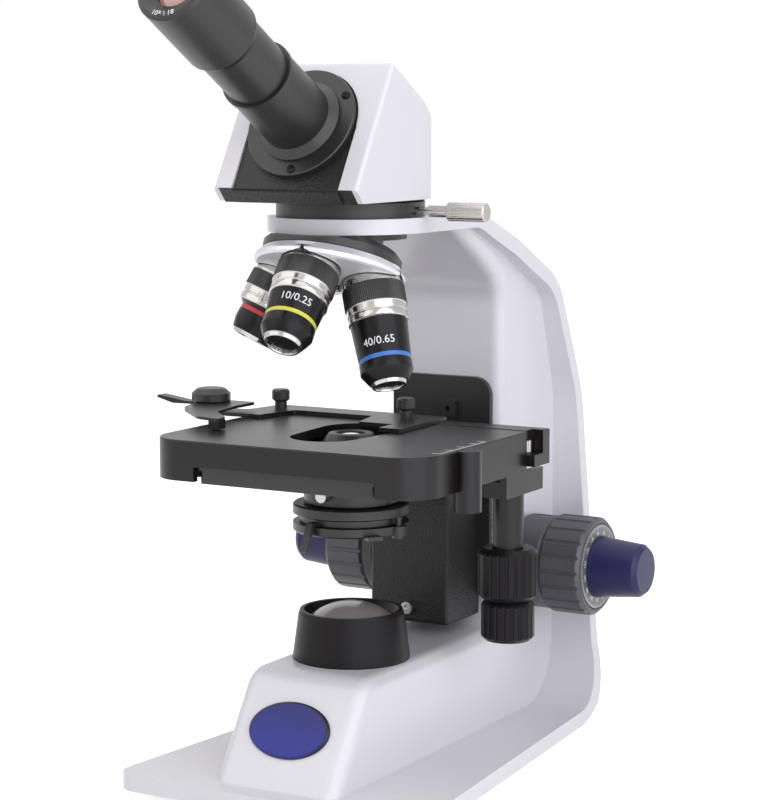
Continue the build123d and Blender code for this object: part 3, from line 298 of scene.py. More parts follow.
def coated(name, colour, roughness, grain=900.0, depth=0.00002, wear=0.0, bare=(0.4, 0.4, 0.4),
           dust=0.0, spread=0.12, metallic=0.0, **constants):
    """Paint, plastic or plating: tone drift, fine bump, rubbed edges and a trace of dust."""
    finish = Finish(name)
    grained = finish.group("grain", Scale=grain, Drift_Scale=24.0)
    tone = grained.outputs["Tone"]
    base = finish.mix(tone, shade(colour, 1 - spread), shade(colour, 1 + spread))
    rough = finish.span(tone, roughness * 0.82, min(1.0, roughness * 1.2))
    if wear:
        worn = finish.group("wear", Amount=wear).outputs["Mask"]
        base = finish.mix(worn, base, bare)
    if dust:
        settled = finish.group("dust", Amount=dust).outputs["Mask"]
        base = finish.mix(settled, base, DUST_COLOUR)
    finish.link(base, "Base Color")
    finish.link(rough, "Roughness")
    finish.bump(grained.outputs["Height"], depth)
    return finish.constants(Metallic=metallic, **constants).material


def crackled(name, colour, roughness):
    """Black crackle paint: raised cells that shine on their tops."""
    finish = Finish(name)
    cells = finish.group("crackle", Scale=1000.0).outputs["Height"]
    tone = finish.group("grain", Scale=500.0, Drift_Scale=20.0).outputs["Tone"]
    worn = finish.group("wear", Amount=0.25).outputs["Mask"]
    base = finish.mix(tone, shade(colour, 0.8), shade(colour, 1.25))
    finish.link(finish.mix(worn, base, CRACKLE_RUBBED), "Base Color")
    finish.link(finish.span(tone, roughness * 0.85, roughness * 1.15), "Roughness")
    finish.bump(cells, CRACKLE_DEPTH, 0.8)
    return finish.constants(Specular_IOR_Level=0.42).material


def metal(name, colour, roughness):
    """Bright metal with a fine grain."""
    finish = Finish(name)
    grained = finish.group("grain", Scale=1600.0, Drift_Scale=40.0)
    tone = grained.outputs["Tone"]
    finish.link(finish.mix(tone, shade(colour, 0.86), shade(colour, 1.08)), "Base Color")
    finish.link(finish.span(tone, roughness * 0.7, roughness * 1.4), "Roughness")
    finish.bump(grained.outputs["Height"], METAL_GRAIN)
    return finish.constants(Metallic=1.0).material


def glass(name, tint, roughness, coat=0.0):
    """Optical glass, a little duller in patches."""
    finish = Finish(name)
    tone = finish.group("grain", Scale=700.0, Drift_Scale=90.0).outputs["Tone"]
    finish.link(finish.mix(tone, shade(tint, 0.94), tint), "Base Color")
    finish.link(finish.span(tone, roughness * 0.6, roughness * 1.6), "Roughness")
    return finish.constants(Metallic=0.0, Transmission_Weight=1.0, IOR=1.52,
                            Coat_Weight=coat).material


FINISHES = {}


def finish_for(slot):
    """Material of one of the record's slots, or of a finish that only this file has."""
    looks = bpy.context.scene.microscope_finish
    paint = tuple(looks.paint)
    satin = tuple(looks.satin_black)
    makers = {
        "white_paint": lambda: coated(slot, paint, 0.32, 520.0, 0.00001, spread=0.01,
                                      Coat_Weight=0.25, Coat_Roughness=0.2),
        "cover_white": lambda: coated(slot, paint, 0.34, 520.0, 0.00001, spread=0.01,
                                      Coat_Weight=0.2, Coat_Roughness=0.2),
        "black_sheet": lambda: coated(slot, shade(satin, 0.7), 0.5, 700.0, wear=0.2,
                                      Specular_IOR_Level=0.25),
        "foot_rubber": lambda: coated(slot, (0.012, 0.012, 0.012), 0.8, 1500.0, 0.00005,
                                      Specular_IOR_Level=0.2),
        "black_plastic": lambda: coated(slot, (0.006, 0.0045, 0.0055), 0.4, 900.0, 0.00002,
                                        wear=0.15, bare=(0.06, 0.06, 0.06), dust=0.01,
                                        Specular_IOR_Level=0.18),
        "lens_glass": lambda: glass(slot, (0.95, 0.97, 0.98), 0.02),
        "heat_sink": lambda: metal(slot, (0.6, 0.6, 0.62), 0.35),
        "badge_blue": lambda: badge_finish(slot, tuple(looks.badge)),
        "bare_steel": lambda: metal(slot, STEEL, 0.22),
        "black_metal": lambda: coated(slot, (0.016, 0.0145, 0.0145), 0.36, 1300.0, 0.000012,
                                      wear=0.3, bare=(0.12, 0.115, 0.11), spread=0.15,
                                      Specular_IOR_Level=0.5),
        "plated_steel": lambda: metal(slot, (0.5, 0.475, 0.45), 0.26),
        "knob_grey": lambda: coated(slot, tuple(looks.knob), 0.42, 800.0, 0.00002, wear=0.2,
                                    bare=(0.2, 0.2, 0.21), spread=0.08),
        "scale_silver": lambda: coated(slot, (0.16, 0.16, 0.165), 0.4, 1500.0, 0.00001,
                                       metallic=0.4),
        "knob_blue": lambda: coated(slot, tuple(looks.fine_knob), 0.4, 700.0, 0.000015,
                                    spread=0.1, wear=0.12, bare=(0.1, 0.1, 0.3),
                                    Specular_IOR_Level=0.35),
        "black_crackle": lambda: crackled(slot, shade(satin, 0.55), 0.45),
        "stage_black": lambda: coated(slot, satin, 0.3, 1500.0, 0.000018, wear=0.3,
                                      bare=(0.1, 0.095, 0.095), dust=0.02, spread=0.1,
                                      Specular_IOR_Level=0.32),
        "white_nylon": lambda: coated(slot, (0.8, 0.79, 0.76), 0.4, 600.0, 0.00002, spread=0.04),
        "turret_chrome": lambda: coated(slot, (0.78, 0.77, 0.8), 0.36, 1200.0, 0.00001,
                                        metallic=0.3, spread=0.05),
        "barrel_black": lambda: coated(slot, (0.006, 0.005, 0.006), 0.26, 1500.0, 0.000008,
                                       wear=0.3, bare=(0.15, 0.14, 0.14), spread=0.15,
                                       Specular_IOR_Level=0.2),
        "chrome": lambda: metal(slot, (0.5, 0.485, 0.465), 0.16),
        "front_lens": lambda: glass(slot, (0.78, 0.8, 0.86), 0.03, 1.0),
        "coated_lens": lambda: coated_lens(slot),
        "field_glass": lambda: coated(slot, (0.27, 0.24, 0.225), 0.3, 600.0, 0.000006,
                                      spread=0.1, Coat_Weight=0.7, Coat_Roughness=0.08),
        "mark_white": lambda: coated(slot, (0.8, 0.8, 0.8), 0.5, 1500.0, 0.000005, spread=0.04),
        "mark_red": lambda: coated(slot, tuple(looks.ring_4x), 0.35, 900.0, 0.00001, spread=0.06),
        "mark_yellow": lambda: coated(slot, tuple(looks.ring_10x), 0.35, 900.0, 0.00001,
                                      spread=0.06),
        "mark_blue": lambda: coated(slot, tuple(looks.ring_40x), 0.35, 900.0, 0.00001,
                                    spread=0.06),
    }
    if slot not in FINISHES:
        FINISHES[slot] = makers[slot]()
    return FINISHES[slot]


def badge_finish(name, colour):
    """Speckled blue enamel under clear resin, darker above and black at the rim."""
    finish = Finish(name)
    place = finish.node("ShaderNodeTexCoord").outputs["Generated"]
    split = finish.node("ShaderNodeSeparateXYZ")
    finish.link(place, split.inputs[0])
    ramp = finish.node("ShaderNodeValToRGB")
    ramp.color_ramp.elements[0].position = 0.35
    ramp.color_ramp.elements[0].color = (*colour, 1.0)
    ramp.color_ramp.elements[1].position = 0.85
    ramp.color_ramp.elements[1].color = (*shade(colour, 0.3), 1.0)
    finish.link(split.outputs["Z"], ramp.inputs[0])
    speckle = finish.group("grain", Scale=1800.0, Drift_Scale=60.0).outputs["Tone"]
    enamel = finish.mix(speckle, ramp.outputs[0], shade(colour, 0.8))
    centred = finish.node("ShaderNodeVectorMath", operation="SUBTRACT")
    centred.inputs[1].default_value = (0.5, 0.5, 0.5)
    finish.link(place, centred.inputs[0])
    flat = finish.node("ShaderNodeVectorMath", operation="MULTIPLY")
    flat.inputs[1].default_value = (2.0, 0.0, 2.0)
    finish.link(centred.outputs["Vector"], flat.inputs[0])
    reach = finish.node("ShaderNodeVectorMath", operation="LENGTH")
    finish.link(flat.outputs["Vector"], reach.inputs[0])
    edge = finish.node("ShaderNodeValToRGB")
    edge.color_ramp.elements[0].position = 0.9
    edge.color_ramp.elements[1].position = 0.97
    finish.link(reach.outputs["Value"], edge.inputs[0])
    finish.link(finish.mix(edge.outputs[0], enamel, (0.006, 0.006, 0.03)), "Base Color")
    finish.link(finish.span(speckle, 0.22, 0.35), "Roughness")
    return finish.constants(Coat_Weight=0.35, Coat_Roughness=0.06, Specular_IOR_Level=0.2).material


def coated_lens(name):
    """Eye lens with a rosy anti-reflection coat."""
    finish = Finish(name)
    tone = finish.group("grain", Scale=600.0, Drift_Scale=120.0).outputs["Tone"]
    finish.link(finish.mix(tone, (0.42, 0.2, 0.17), (0.5, 0.28, 0.24)), "Base Color")
    finish.link(finish.span(tone, 0.08, 0.16), "Roughness")
    return finish.constants(Coat_Weight=1.0, Coat_Roughness=0.03).material


# Meshes -----------------------------------------------------------------------------------------

SHARP_ANGLE = 35.0            # degrees, above which an edge of a mesh stays sharp
BEVEL_ANGLE = 40.0            # degrees, above which a CAD edge is broken
FIGURE_THICKNESS = 0.00003    # metres, like the next one
FIGURE_LIFT = 0.00003         # how far figures stand off a barrel


def mesh_object(name, mesh, body, materials):
    for polygon in mesh.polygons:
        polygon.use_smooth = True
    mesh.set_sharp_from_angle(angle=radians(SHARP_ANGLE))
    piece = bpy.data.objects.new(name, mesh)
    bpy.context.scene.collection.objects.link(piece)
    for material in materials:
        mesh.materials.append(finish_for(material))
    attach(piece, body)
    return piece


def eased(profile, radius):
    """Profile of (r, z, band) points with each corner eased by a short curve."""
    points = [profile[0]]
    for before, here, after in zip(profile, profile[1:], profile[2:]):
        a, b, c = (Vector(p[:2]) for p in (before, here, after))
        first, second = a - b, c - b
        if first.length < 1e-9 or second.length < 1e-9 or first.angle(second) > radians(165):
            points.append(here)
            continue
        cut = min(radius, first.length * 0.45, second.length * 0.45)
        start, end = b + first.normalized() * cut, b + second.normalized() * cut
        points.append((*start, before[2]))
        points.append((*((start + end) / 4 + b / 2), here[2]))
        points.append((*end, here[2]))
    points.append(profile[-1])
    return points


def lathe(name, profile, place, body, materials, segments=96, ease=0.12,
          knurled=None, knurl=0.0, closed=False):
    """Turned piece from (radius, z, band) points in millimetres; a band's walls can be knurled."""
    rounded = eased(profile, ease)
    made = bmesh.new()
    rings = []
    for r, z, band in rounded:
        ring = []
        for index in range(segments):
            cut = knurl if band == knurled and index % 2 == 0 else 0.0
            turn = 2 * pi * index / segments
            spot = Vector(((r - cut) * MM * cos(turn), (r - cut) * MM * sin(turn), z * MM))
            ring.append(made.verts.new(place @ spot))
        rings.append(ring)
    pairs = list(zip(rings, rings[1:]))
    if closed:
        pairs.append((rings[-1], rings[0]))
    for row, (low, high) in enumerate(pairs):
        band = rounded[row][2]
        for index in range(segments):
            after = (index + 1) % segments
            face = made.faces.new((low[index], low[after], high[after], high[index]))
            face.material_index = band
    bmesh.ops.recalc_face_normals(made, faces=made.faces)
    mesh = bpy.data.meshes.new(name)
    made.to_mesh(mesh)
    made.free()
    return mesh_object(name, mesh, body, materials)


def letters(text, size):
    """Mesh of a line of figures in the plane z = 0, centred, size in metres."""
    curve = bpy.data.curves.new("figures", "FONT")
    curve.body = text
    curve.size = size
    curve.align_x = "CENTER"
    curve.align_y = "CENTER"
    curve.extrude = FIGURE_THICKNESS
    curve.resolution_u = 3
    holder = bpy.data.objects.new("figures", curve)
    bpy.context.scene.collection.objects.link(holder)
    bpy.context.view_layer.update()
    mesh = bpy.data.meshes.new_from_object(holder)
    bpy.data.objects.remove(holder)
    bpy.data.curves.remove(curve)
    return mesh


def wrapped_figures(name, text, size, radius, z, turn, place, body, taper):
    """Figures printed round a barrel, read with the nose down."""
    mesh = letters(text, size)
    cut = bmesh.new()
    cut.from_mesh(mesh)
    for _ in range(2):
        long_edges = [edge for edge in cut.edges if edge.calc_length() > size * 0.25]
        bmesh.ops.subdivide_edges(cut, edges=long_edges, cuts=1)
    cut.to_mesh(mesh)
    cut.free()
    for vertex in mesh.vertices:
        x, y, lift = vertex.co
        angle = turn - x / radius
        level = z - y
        reach = radius + lift + FIGURE_LIFT - taper * (level - z)
        vertex.co = place @ Vector((reach * cos(angle), reach * sin(angle), level))
    return mesh_object(name, mesh, body, ["mark_white"])


def flat_strip(made, start, end, width, lift, normal):
    """Thin raised stroke between two points."""
    along = (end - start).normalized()
    side = along.cross(normal).normalized() * width / 2
    up = normal.normalized() * lift
    corners = [start - side, start + side, end + side, end - side]
    low = [made.verts.new(c) for c in corners]
    high = [made.verts.new(c + up) for c in corners]
    made.faces.new(high)
    for index in range(4):
        after = (index + 1) % 4
        made.faces.new((low[index], low[after], high[after], high[index]))


def strokes(name, lines, width, lift, normal, body):
    """One piece of white strokes, each between two points."""
    made = bmesh.new()
    for start, end in lines:
        flat_strip(made, start, end, width, lift, normal)
    bmesh.ops.recalc_face_normals(made, faces=made.faces)
    mesh = bpy.data.meshes.new(name)
    made.to_mesh(mesh)
    made.free()
    return mesh_object(name, mesh, body, ["mark_white"])


def merged(name, meshes, body, materials):
    """One piece from several meshes."""
    made = bmesh.new()
    for mesh in meshes:
        made.from_mesh(mesh)
    whole = bpy.data.meshes.new(name)
    made.to_mesh(whole)
    made.free()
    return mesh_object(name, whole, body, materials)


def frame_matrix(origin, x_axis, z_axis):
    x_axis, z_axis = x_axis.normalized(), z_axis.normalized()
    y_axis = z_axis.cross(x_axis)
    matrix = Matrix((x_axis, y_axis, z_axis)).transposed().to_4x4()
    matrix.translation = origin
    return matrix


def dress(node):
    """Gives a CAD node the finish of its slot."""
    materials = NODES[node].data.materials
    materials.clear()
    materials.append(finish_for(SLOTS[node]))


def soften(node, width):
    """Breaks a node's sharp edges, so that they catch the light."""
    bevel = NODES[node].modifiers.new("broken edges", "BEVEL")
    bevel.width = width
    bevel.segments = 2
    bevel.limit_method = "ANGLE"
    bevel.angle_limit = radians(BEVEL_ANGLE)
    bevel.use_clamp_overlap = True
    bevel.harden_normals = True


# Settings ---------------------------------------------------------------------------------------

def colour_property(name, description, default):
    return FloatVectorProperty(name=name, description=description, subtype="COLOR", size=3,
                               min=0.0, max=1.0, default=default)


class MicroscopeFinish(bpy.types.PropertyGroup):
    """Colours of the finishes."""
    paint: colour_property("Paint", "Enamel of the stand and the head's cover", (0.69, 0.67, 0.705))
    satin_black: colour_property("Satin black", "Black of the stage and its plates",
                                 (0.0075, 0.0055, 0.0065))
    knob: colour_property("Coarse knob", "Grey plastic of the coarse knobs", (0.072, 0.069, 0.08))
    fine_knob: colour_property("Fine knob", "Blue plastic of the fine knobs", (0.014, 0.011, 0.07))
    badge: colour_property("Badge", "Enamel of the oval badge", (0.012, 0.016, 0.26))
    ring_4x: colour_property("4x ring", "Colour ring of the 4x objective", (0.55, 0.02, 0.03))
    ring_10x: colour_property("10x ring", "Colour ring of the 10x objective", (0.62, 0.6, 0.06))
    ring_40x: colour_property("40x ring", "Colour ring of the 40x objective", (0.04, 0.16, 0.55))


class MicroscopeSizes(bpy.types.PropertyGroup):
    """Sizes of the marks and the fine details."""
    knurl_depth: FloatProperty(name="Knurl depth", description="Depth of the objectives' knurling",
                               default=0.00022, unit="LENGTH")
    knurl_teeth: IntProperty(name="Knurl teeth", description="Teeth round an objective's grip",
                             default=96)
    barrel_figures: FloatProperty(name="Barrel figures",
                                  description="Height of an objective's figures",
                                  default=0.0044, unit="LENGTH")
    scale_figures: FloatProperty(name="Scale figures",
                                 description="Height of the focus scale's figures",
                                 default=0.0022, unit="LENGTH")
    scale_divisions: IntProperty(name="Scale divisions", description="Lines on the focus scale",
                                 default=150)
    mark_lift: FloatProperty(name="Mark lift", description="How far printed marks stand proud",
                             default=0.00004, unit="LENGTH")
    eyepiece_label: StringProperty(name="Eyepiece label",
                                   description="Figures on the eyepiece's rim",
                                   default="10x / 18")


class MicroscopeStudio(bpy.types.PropertyGroup):
    """Camera and lights."""
    focal_length: FloatProperty(name="Camera lens", description="Focal length in millimetres",
                                default=107.91)
    key_power: FloatProperty(name="Key light", description="Power of the key light", default=5.5,
                             unit="POWER")
    fill_power: FloatProperty(name="Fill light", description="Power of the fill light",
                              default=12.5, unit="POWER")
    top_power: FloatProperty(name="Top light", description="Power of the light overhead",
                             default=5.0, unit="POWER")
    world_strength: FloatProperty(name="Room light",
                                  description="Strength of the room's even light", default=0.38)
    floor_colour: colour_property("Floor", "Colour of the floor", (0.82, 0.82, 0.82))


# Operators --------------------------------------------------------------------------------------

class DressStand(bpy.types.Operator):
    """Finishes of the stand, its feet and the lamp"""
    bl_idname = "microscope.dress_stand"
    bl_label = "Stand"

    def execute(self, context):
        for node in ("base_arm_casting", "bottom_cover", "rubber_feet", "illuminator_collar",
                     "field_lens", "led_module", "dc_inlet", "focus_guides", "shaft_bushes",
                     "head_socket", "nosepiece_mount", "brightness_dial", "turret_pivot_screw"):
            dress(node)
        NODES["field_lens"].data.materials[0] = finish_for("field_glass")
        for node in ("bottom_cover", "illuminator_collar", "dc_inlet"):
            soften(node, 0.0004)
        return {"FINISHED"}


# Side view of the arm's back, (y, z) in millimetres from the optical axis
BACK_CORNERS = ((136.8, 150.0), (121.0, 200.0), (84.0, 219.0))
BACK_BEND_RADIUS = 25.0
SKIN_HALF_WIDTH = 23.6
SKIN_LIFT = 0.06          # how far the skin stands proud
SKIN_LEAD = (5.0, 2.5)    # points on the straight run below the bend
SKIN_STEPS = 12
SKIN_THICKNESS = 0.0008   # metres


class ArmSkin(bpy.types.Operator):
    """Closes the slot that the casting's hollow leaves in the back of the arm"""
    bl_idname = "microscope.arm_skin"
    bl_label = "Arm's back"

    def execute(self, context):
        below, corner, above = (Vector(point) for point in BACK_CORNERS)
        first, second = (corner - below).normalized(), (above - corner).normalized()
        turn = first.angle(second)
        reach = BACK_BEND_RADIUS * tan(turn / 2)
        start = corner - first * reach
        outward = Vector((first.y, -first.x))
        centre = start - outward * BACK_BEND_RADIUS
        profile = [start - first * step + outward * SKIN_LIFT for step in SKIN_LEAD]
        for index in range(SKIN_STEPS + 1):
            angle = turn * index / SKIN_STEPS
            spoke = Vector((outward.x * cos(angle) - outward.y * sin(angle),
                            outward.x * sin(angle) + outward.y * cos(angle)))
            profile.append(centre + spoke * (BACK_BEND_RADIUS + SKIN_LIFT))
        made = bmesh.new()
        rows = [[made.verts.new(at(x, y, z)) for x in (-SKIN_HALF_WIDTH, SKIN_HALF_WIDTH)]
                for y, z in profile]
        for low, high in zip(rows, rows[1:]):
            made.faces.new((low[0], low[1], high[1], high[0]))
        bmesh.ops.recalc_face_normals(made, faces=made.faces)
        bmesh.ops.solidify(made, geom=made.faces[:], thickness=SKIN_THICKNESS)
        mesh = bpy.data.meshes.new("arm_back_skin")
        made.to_mesh(mesh)
        made.free()
        mesh_object("arm_back_skin", mesh, "stand", ["white_paint"])
        return {"FINISHED"}


class DressDrive(bpy.types.Operator):
    """Finishes of the focus drive"""
    bl_idname = "microscope.dress_drive"
    bl_label = "Focus drive"

    def execute(self, context):
        for node in ("tension_ring", "coarse_pinion_shaft", "coarse_knob_right",
                     "coarse_knob_left", "focus_scale_ring", "fine_shaft", "fine_knobs"):
            dress(node)
        return {"FINISHED"}


class DressStage(bpy.types.Operator):
    """Finishes of the stage, its carrier and the condenser"""
    bl_idname = "microscope.dress_stage"
    bl_label = "Stage"

    def execute(self, context):
        for body in ("stage_carrier", "iris", "filter", "stage", "y_drive", "x_drive",
                     "slide_carriage", "slide_clamp"):
            for node in frame["record"]["behaviour"]["bodies"][body]:
                dress(node)
        for node in ("stage_top", "x_guide_rail", "drive_housing", "slide_bar", "slide_holder",
                     "lower_stage_plate", "carrier_bracket", "dust_plate"):
            soften(node, 0.0003)
        return {"FINISHED"}


class DressOptics(bpy.types.Operator):
    """Finishes of the turret, the head and the eyepiece"""
    bl_idname = "microscope.dress_optics"
    bl_label = "Turret and head"

    def execute(self, context):
        for node in ("nosepiece_turret", "objective_lenses", "head_base", "head_cover",
                     "head_prism", "eyepiece_tube", "eyepiece_barrel", "eyepiece_lens",
                     "head_clamp_screw"):
            dress(node)
        NODES["objective_lenses"].data.materials[0] = finish_for("front_lens")
        NODES["eyepiece_lens"].data.materials[0] = finish_for("coated_lens")
        return {"FINISHED"}


PORT_CIRCLE = 0.018     # metres
TURRET_TURN = -8.0      # degrees from the click stop, as in the photograph


def port_matrix(turn):
    """Frame of a turret port, its z axis running out of the mouth."""
    origin, axis = joint_place("nosepiece_turn")
    tilt = atan2(axis.y, axis.z)
    turret = frame_matrix(origin, Vector((1, 0, 0)), axis)
    angle = radians(turn)
    spoke = Vector((sin(angle), cos(angle), 0))
    mouth = spoke * sin(tilt) - Vector((0, 0, cos(tilt)))
    return turret @ frame_matrix(spoke * PORT_CIRCLE, spoke.cross(mouth), mouth)


# Name, turn from the working port, length, grip end, body radius, nose radius, ring, figures
OBJECTIVES = (
    ("4x", -90.0, 31.0, 12.0, 9.7, 8.2, "mark_red", "4/0.10"),
    ("10x", 180.0, 39.7, 13.5, 10.4, 7.6, "mark_yellow", "10/0.25"),
    ("40x", 90.0, 45.5, 13.5, 10.4, 7.0, "mark_blue", "40/0.65"),
)


# What the objectives share, in millimetres
THREAD_RADIUS, COLLAR_RADIUS, GRIP_RADIUS = 10.0, 11.65, 12.38
SLEEVE_RADIUS, GROOVE_RADIUS, CONE_RADIUS = 11.85, 11.5, 11.3
NOSE_WALL = 1.6
CONE_START = 6.0        # beyond the grip's end
CONE_END = 11.4         # short of the nose
FIGURES_LEVEL = 16.0    # short of the nose
FIGURES_FACE = (0.42, -0.9, 0.0)


class Objectives(bpy.types.Operator):
    """Three objectives: chrome collars, knurled grips, colour rings and figures"""
    bl_idname = "microscope.objectives"
    bl_label = "Objectives"

    def execute(self, context):
        for objective in OBJECTIVES:
            self.barrel(context.scene.microscope_sizes, *objective)
        return {"FINISHED"}

    def barrel(self, sizes, name, turn, length, grip, body, nose, ring, figures):
        place = port_matrix(TURRET_TURN + turn)
        chrome, black, grip_black, colour = 0, 1, 2, 3
        bore = nose - NOSE_WALL
        profile = [
            (bore, -1.8, chrome), (THREAD_RADIUS, -1.8, chrome), (THREAD_RADIUS, 0.05, chrome),
            (COLLAR_RADIUS, 0.05, chrome), (COLLAR_RADIUS, 4.6, chrome),
            (12.3, 4.9, grip_black), (12.3, 5.2, grip_black), (GRIP_RADIUS, 5.3, grip_black),
            (GRIP_RADIUS, grip - 0.4, grip_black), (12.2, grip - 0.2, chrome),
            (SLEEVE_RADIUS, grip + 0.1, chrome), (SLEEVE_RADIUS, grip + 2.5, chrome),
            (GROOVE_RADIUS, grip + 2.7, chrome), (GROOVE_RADIUS, grip + 3.2, chrome),
            (SLEEVE_RADIUS, grip + 3.4, chrome), (SLEEVE_RADIUS, grip + 5.7, chrome),
            (CONE_RADIUS, grip + CONE_START, black), (body, length - CONE_END, black),
            (body - 0.12, length - 11.3, colour), (body - 0.12, length - 9.6, black),
            (body, length - 9.5, black), (body, length - 5.7, black),
            (nose + 0.5, length - 1.5, chrome), (nose, length - 1.5, chrome),
            (nose - 0.4, length - 0.1, chrome), (bore + 0.3, length - 0.1, chrome),
            (bore + 0.1, length - 1.2, black), (bore, length - 2.4, black)]
        teeth = sizes.knurl_teeth
        shell = lathe(f"objective_{name}_barrel", profile, place, "turret",
                      ["chrome", "barrel_black", "black_metal", ring],
                      segments=2 * teeth, knurled=grip_black, knurl=sizes.knurl_depth / MM,
                      closed=True)
        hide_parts(f"objective_{name}")
        slope = (CONE_RADIUS - body) / (length - CONE_END - grip - CONE_START)
        level = length - FIGURES_LEVEL
        radius = (body + slope * (FIGURES_LEVEL - CONE_END)) * MM
        wrapped_figures(f"objective_{name}_figures", figures, sizes.barrel_figures, radius,
                        level * MM, self.towards_front(place), place, "turret",
                        taper=slope)
        wrapped_figures(f"objective_{name}_tube_figures", "160/0.17", sizes.barrel_figures * 0.6,
                        radius, level * MM, self.towards_front(place) + pi, place, "turret",
                        taper=slope)

    def towards_front(self, place):
        """Turn about the barrel at which its figures face the front right."""
        front = place.to_3x3().inverted() @ Vector(FIGURES_FACE)
        return atan2(front.y, front.x)


class Badge(bpy.types.Operator):
    """Plain oval badge of blue enamel under domed resin, in a dark rim"""
    bl_idname = "microscope.badge"
    bl_label = "Badge"

    def execute(self, context):
        dress("badge")
        return {"FINISHED"}


# Focus scale, radii in metres
LINE_STARTS = (0.0158, 0.0164, 0.017)     # tens, fives, ones
LINE_END = 0.0181
LINE_WIDTH = 0.00016
FIGURE_CIRCLE = 0.0146


class FocusScale(bpy.types.Operator):
    """Graduated disc on the right coarse knob"""
    bl_idname = "microscope.focus_scale"
    bl_label = "Focus scale"

    def execute(self, context):
        sizes = context.scene.microscope_sizes
        centre, _ = joint_place("coarse_turn")
        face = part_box("focus_scale_ring")[1][0]
        count = sizes.scale_divisions
        hub = Vector((face, centre.y, centre.z))
        lines = []
        for index in range(count):
            angle = 2 * pi * index / count
            spoke = Vector((0, cos(angle), sin(angle)))
            inner = LINE_STARTS[0 if index % 10 == 0 else (1 if index % 5 == 0 else 2)]
            lines.append((hub + spoke * inner, hub + spoke * LINE_END))
        strokes("focus_scale_lines", lines, LINE_WIDTH, sizes.mark_lift, Vector((1, 0, 0)),
                "coarse_drive")
        meshes = []
        for index in range(0, count, 10):
            angle = 2 * pi * index / count
            mesh = letters(str(index * 2), sizes.scale_figures)
            spoke = Vector((0, cos(angle), sin(angle)))
            across = Vector((1, 0, 0)).cross(spoke)
            place = Matrix((-across, spoke, Vector((1, 0, 0)))).transposed().to_4x4()
            place.translation = hub + spoke * FIGURE_CIRCLE
            mesh.transform(place)
            meshes.append(mesh)
        merged("focus_scale_figures", meshes, "coarse_drive", ["mark_white"])
        return {"FINISHED"}


# Stage scale, in millimetres from the optical axis
SCALE_X, SCALE_ENDS = 61.0, (-37.5, 0.5)
TICK_ENDS, TICK_PLACES = (57.4, 60.6), (-37.0, -27.0, -17.0, -7.0, 0.0)
SCALE_LINE_WIDTH = 0.0005    # metres


class StageScale(bpy.types.Operator):
    """Scale line with its ticks on the stage's right edge"""
    bl_idname = "microscope.stage_scale"
    bl_label = "Stage scale"

    def execute(self, context):
        lift = context.scene.microscope_sizes.mark_lift
        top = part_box("stage_top")[1][2] / MM
        lines = [[at(SCALE_X, y, top) for y in SCALE_ENDS]]
        lines += [[at(x, y, top) for x in TICK_ENDS] for y in TICK_PLACES]
        strokes("stage_scale_lines", lines, SCALE_LINE_WIDTH, lift, Vector((0, 0, 1)), "stage")
        return {"FINISHED"}


# Eyepiece figures, in metres
EYEPIECE_FIGURES = 0.0028
EYEPIECE_FIGURE_CIRCLE = 0.0122


class EyepieceMarks(bpy.types.Operator):
    """Figures on the eyepiece's rim"""
    bl_idname = "microscope.eyepiece_marks"
    bl_label = "Eyepiece figures"

    def execute(self, context):
        seat, axis = joint_place("eyepiece_turn")
        place = frame_matrix(seat, Vector((1, 0, 0)), axis)
        label = context.scene.microscope_sizes.eyepiece_label
        inward = place.inverted()
        rim = max((inward @ vertex.co).z for vertex in NODES["eyepiece_barrel"].data.vertices)
        flat = letters(label, EYEPIECE_FIGURES)
        for vertex in flat.vertices:
            x, y, lift = vertex.co
            angle = -pi / 2 + x / EYEPIECE_FIGURE_CIRCLE
            reach = EYEPIECE_FIGURE_CIRCLE + y
            vertex.co = place @ Vector((reach * cos(angle), reach * sin(angle), rim + lift))
        mesh_object("eyepiece_figures", flat, "eyepiece", ["mark_white"])
        return {"FINISHED"}


# Flange screws, in metres
SCREW_TURNS = (35.0, 155.0, 275.0)
SCREW_CIRCLE = 0.0206
RECESS_HEIGHT = 0.00085
RECESS_SLOT = (0.0021, 0.0005, 0.0009)
SCREW_PROFILE = ((0.02, -0.4, 0), (1.7, -0.4, 0), (1.75, 0.4, 0), (1.55, 0.7, 0),
                 (1.0, 0.9, 0), (0.02, 0.95, 0))    # radius and height in millimetres, band


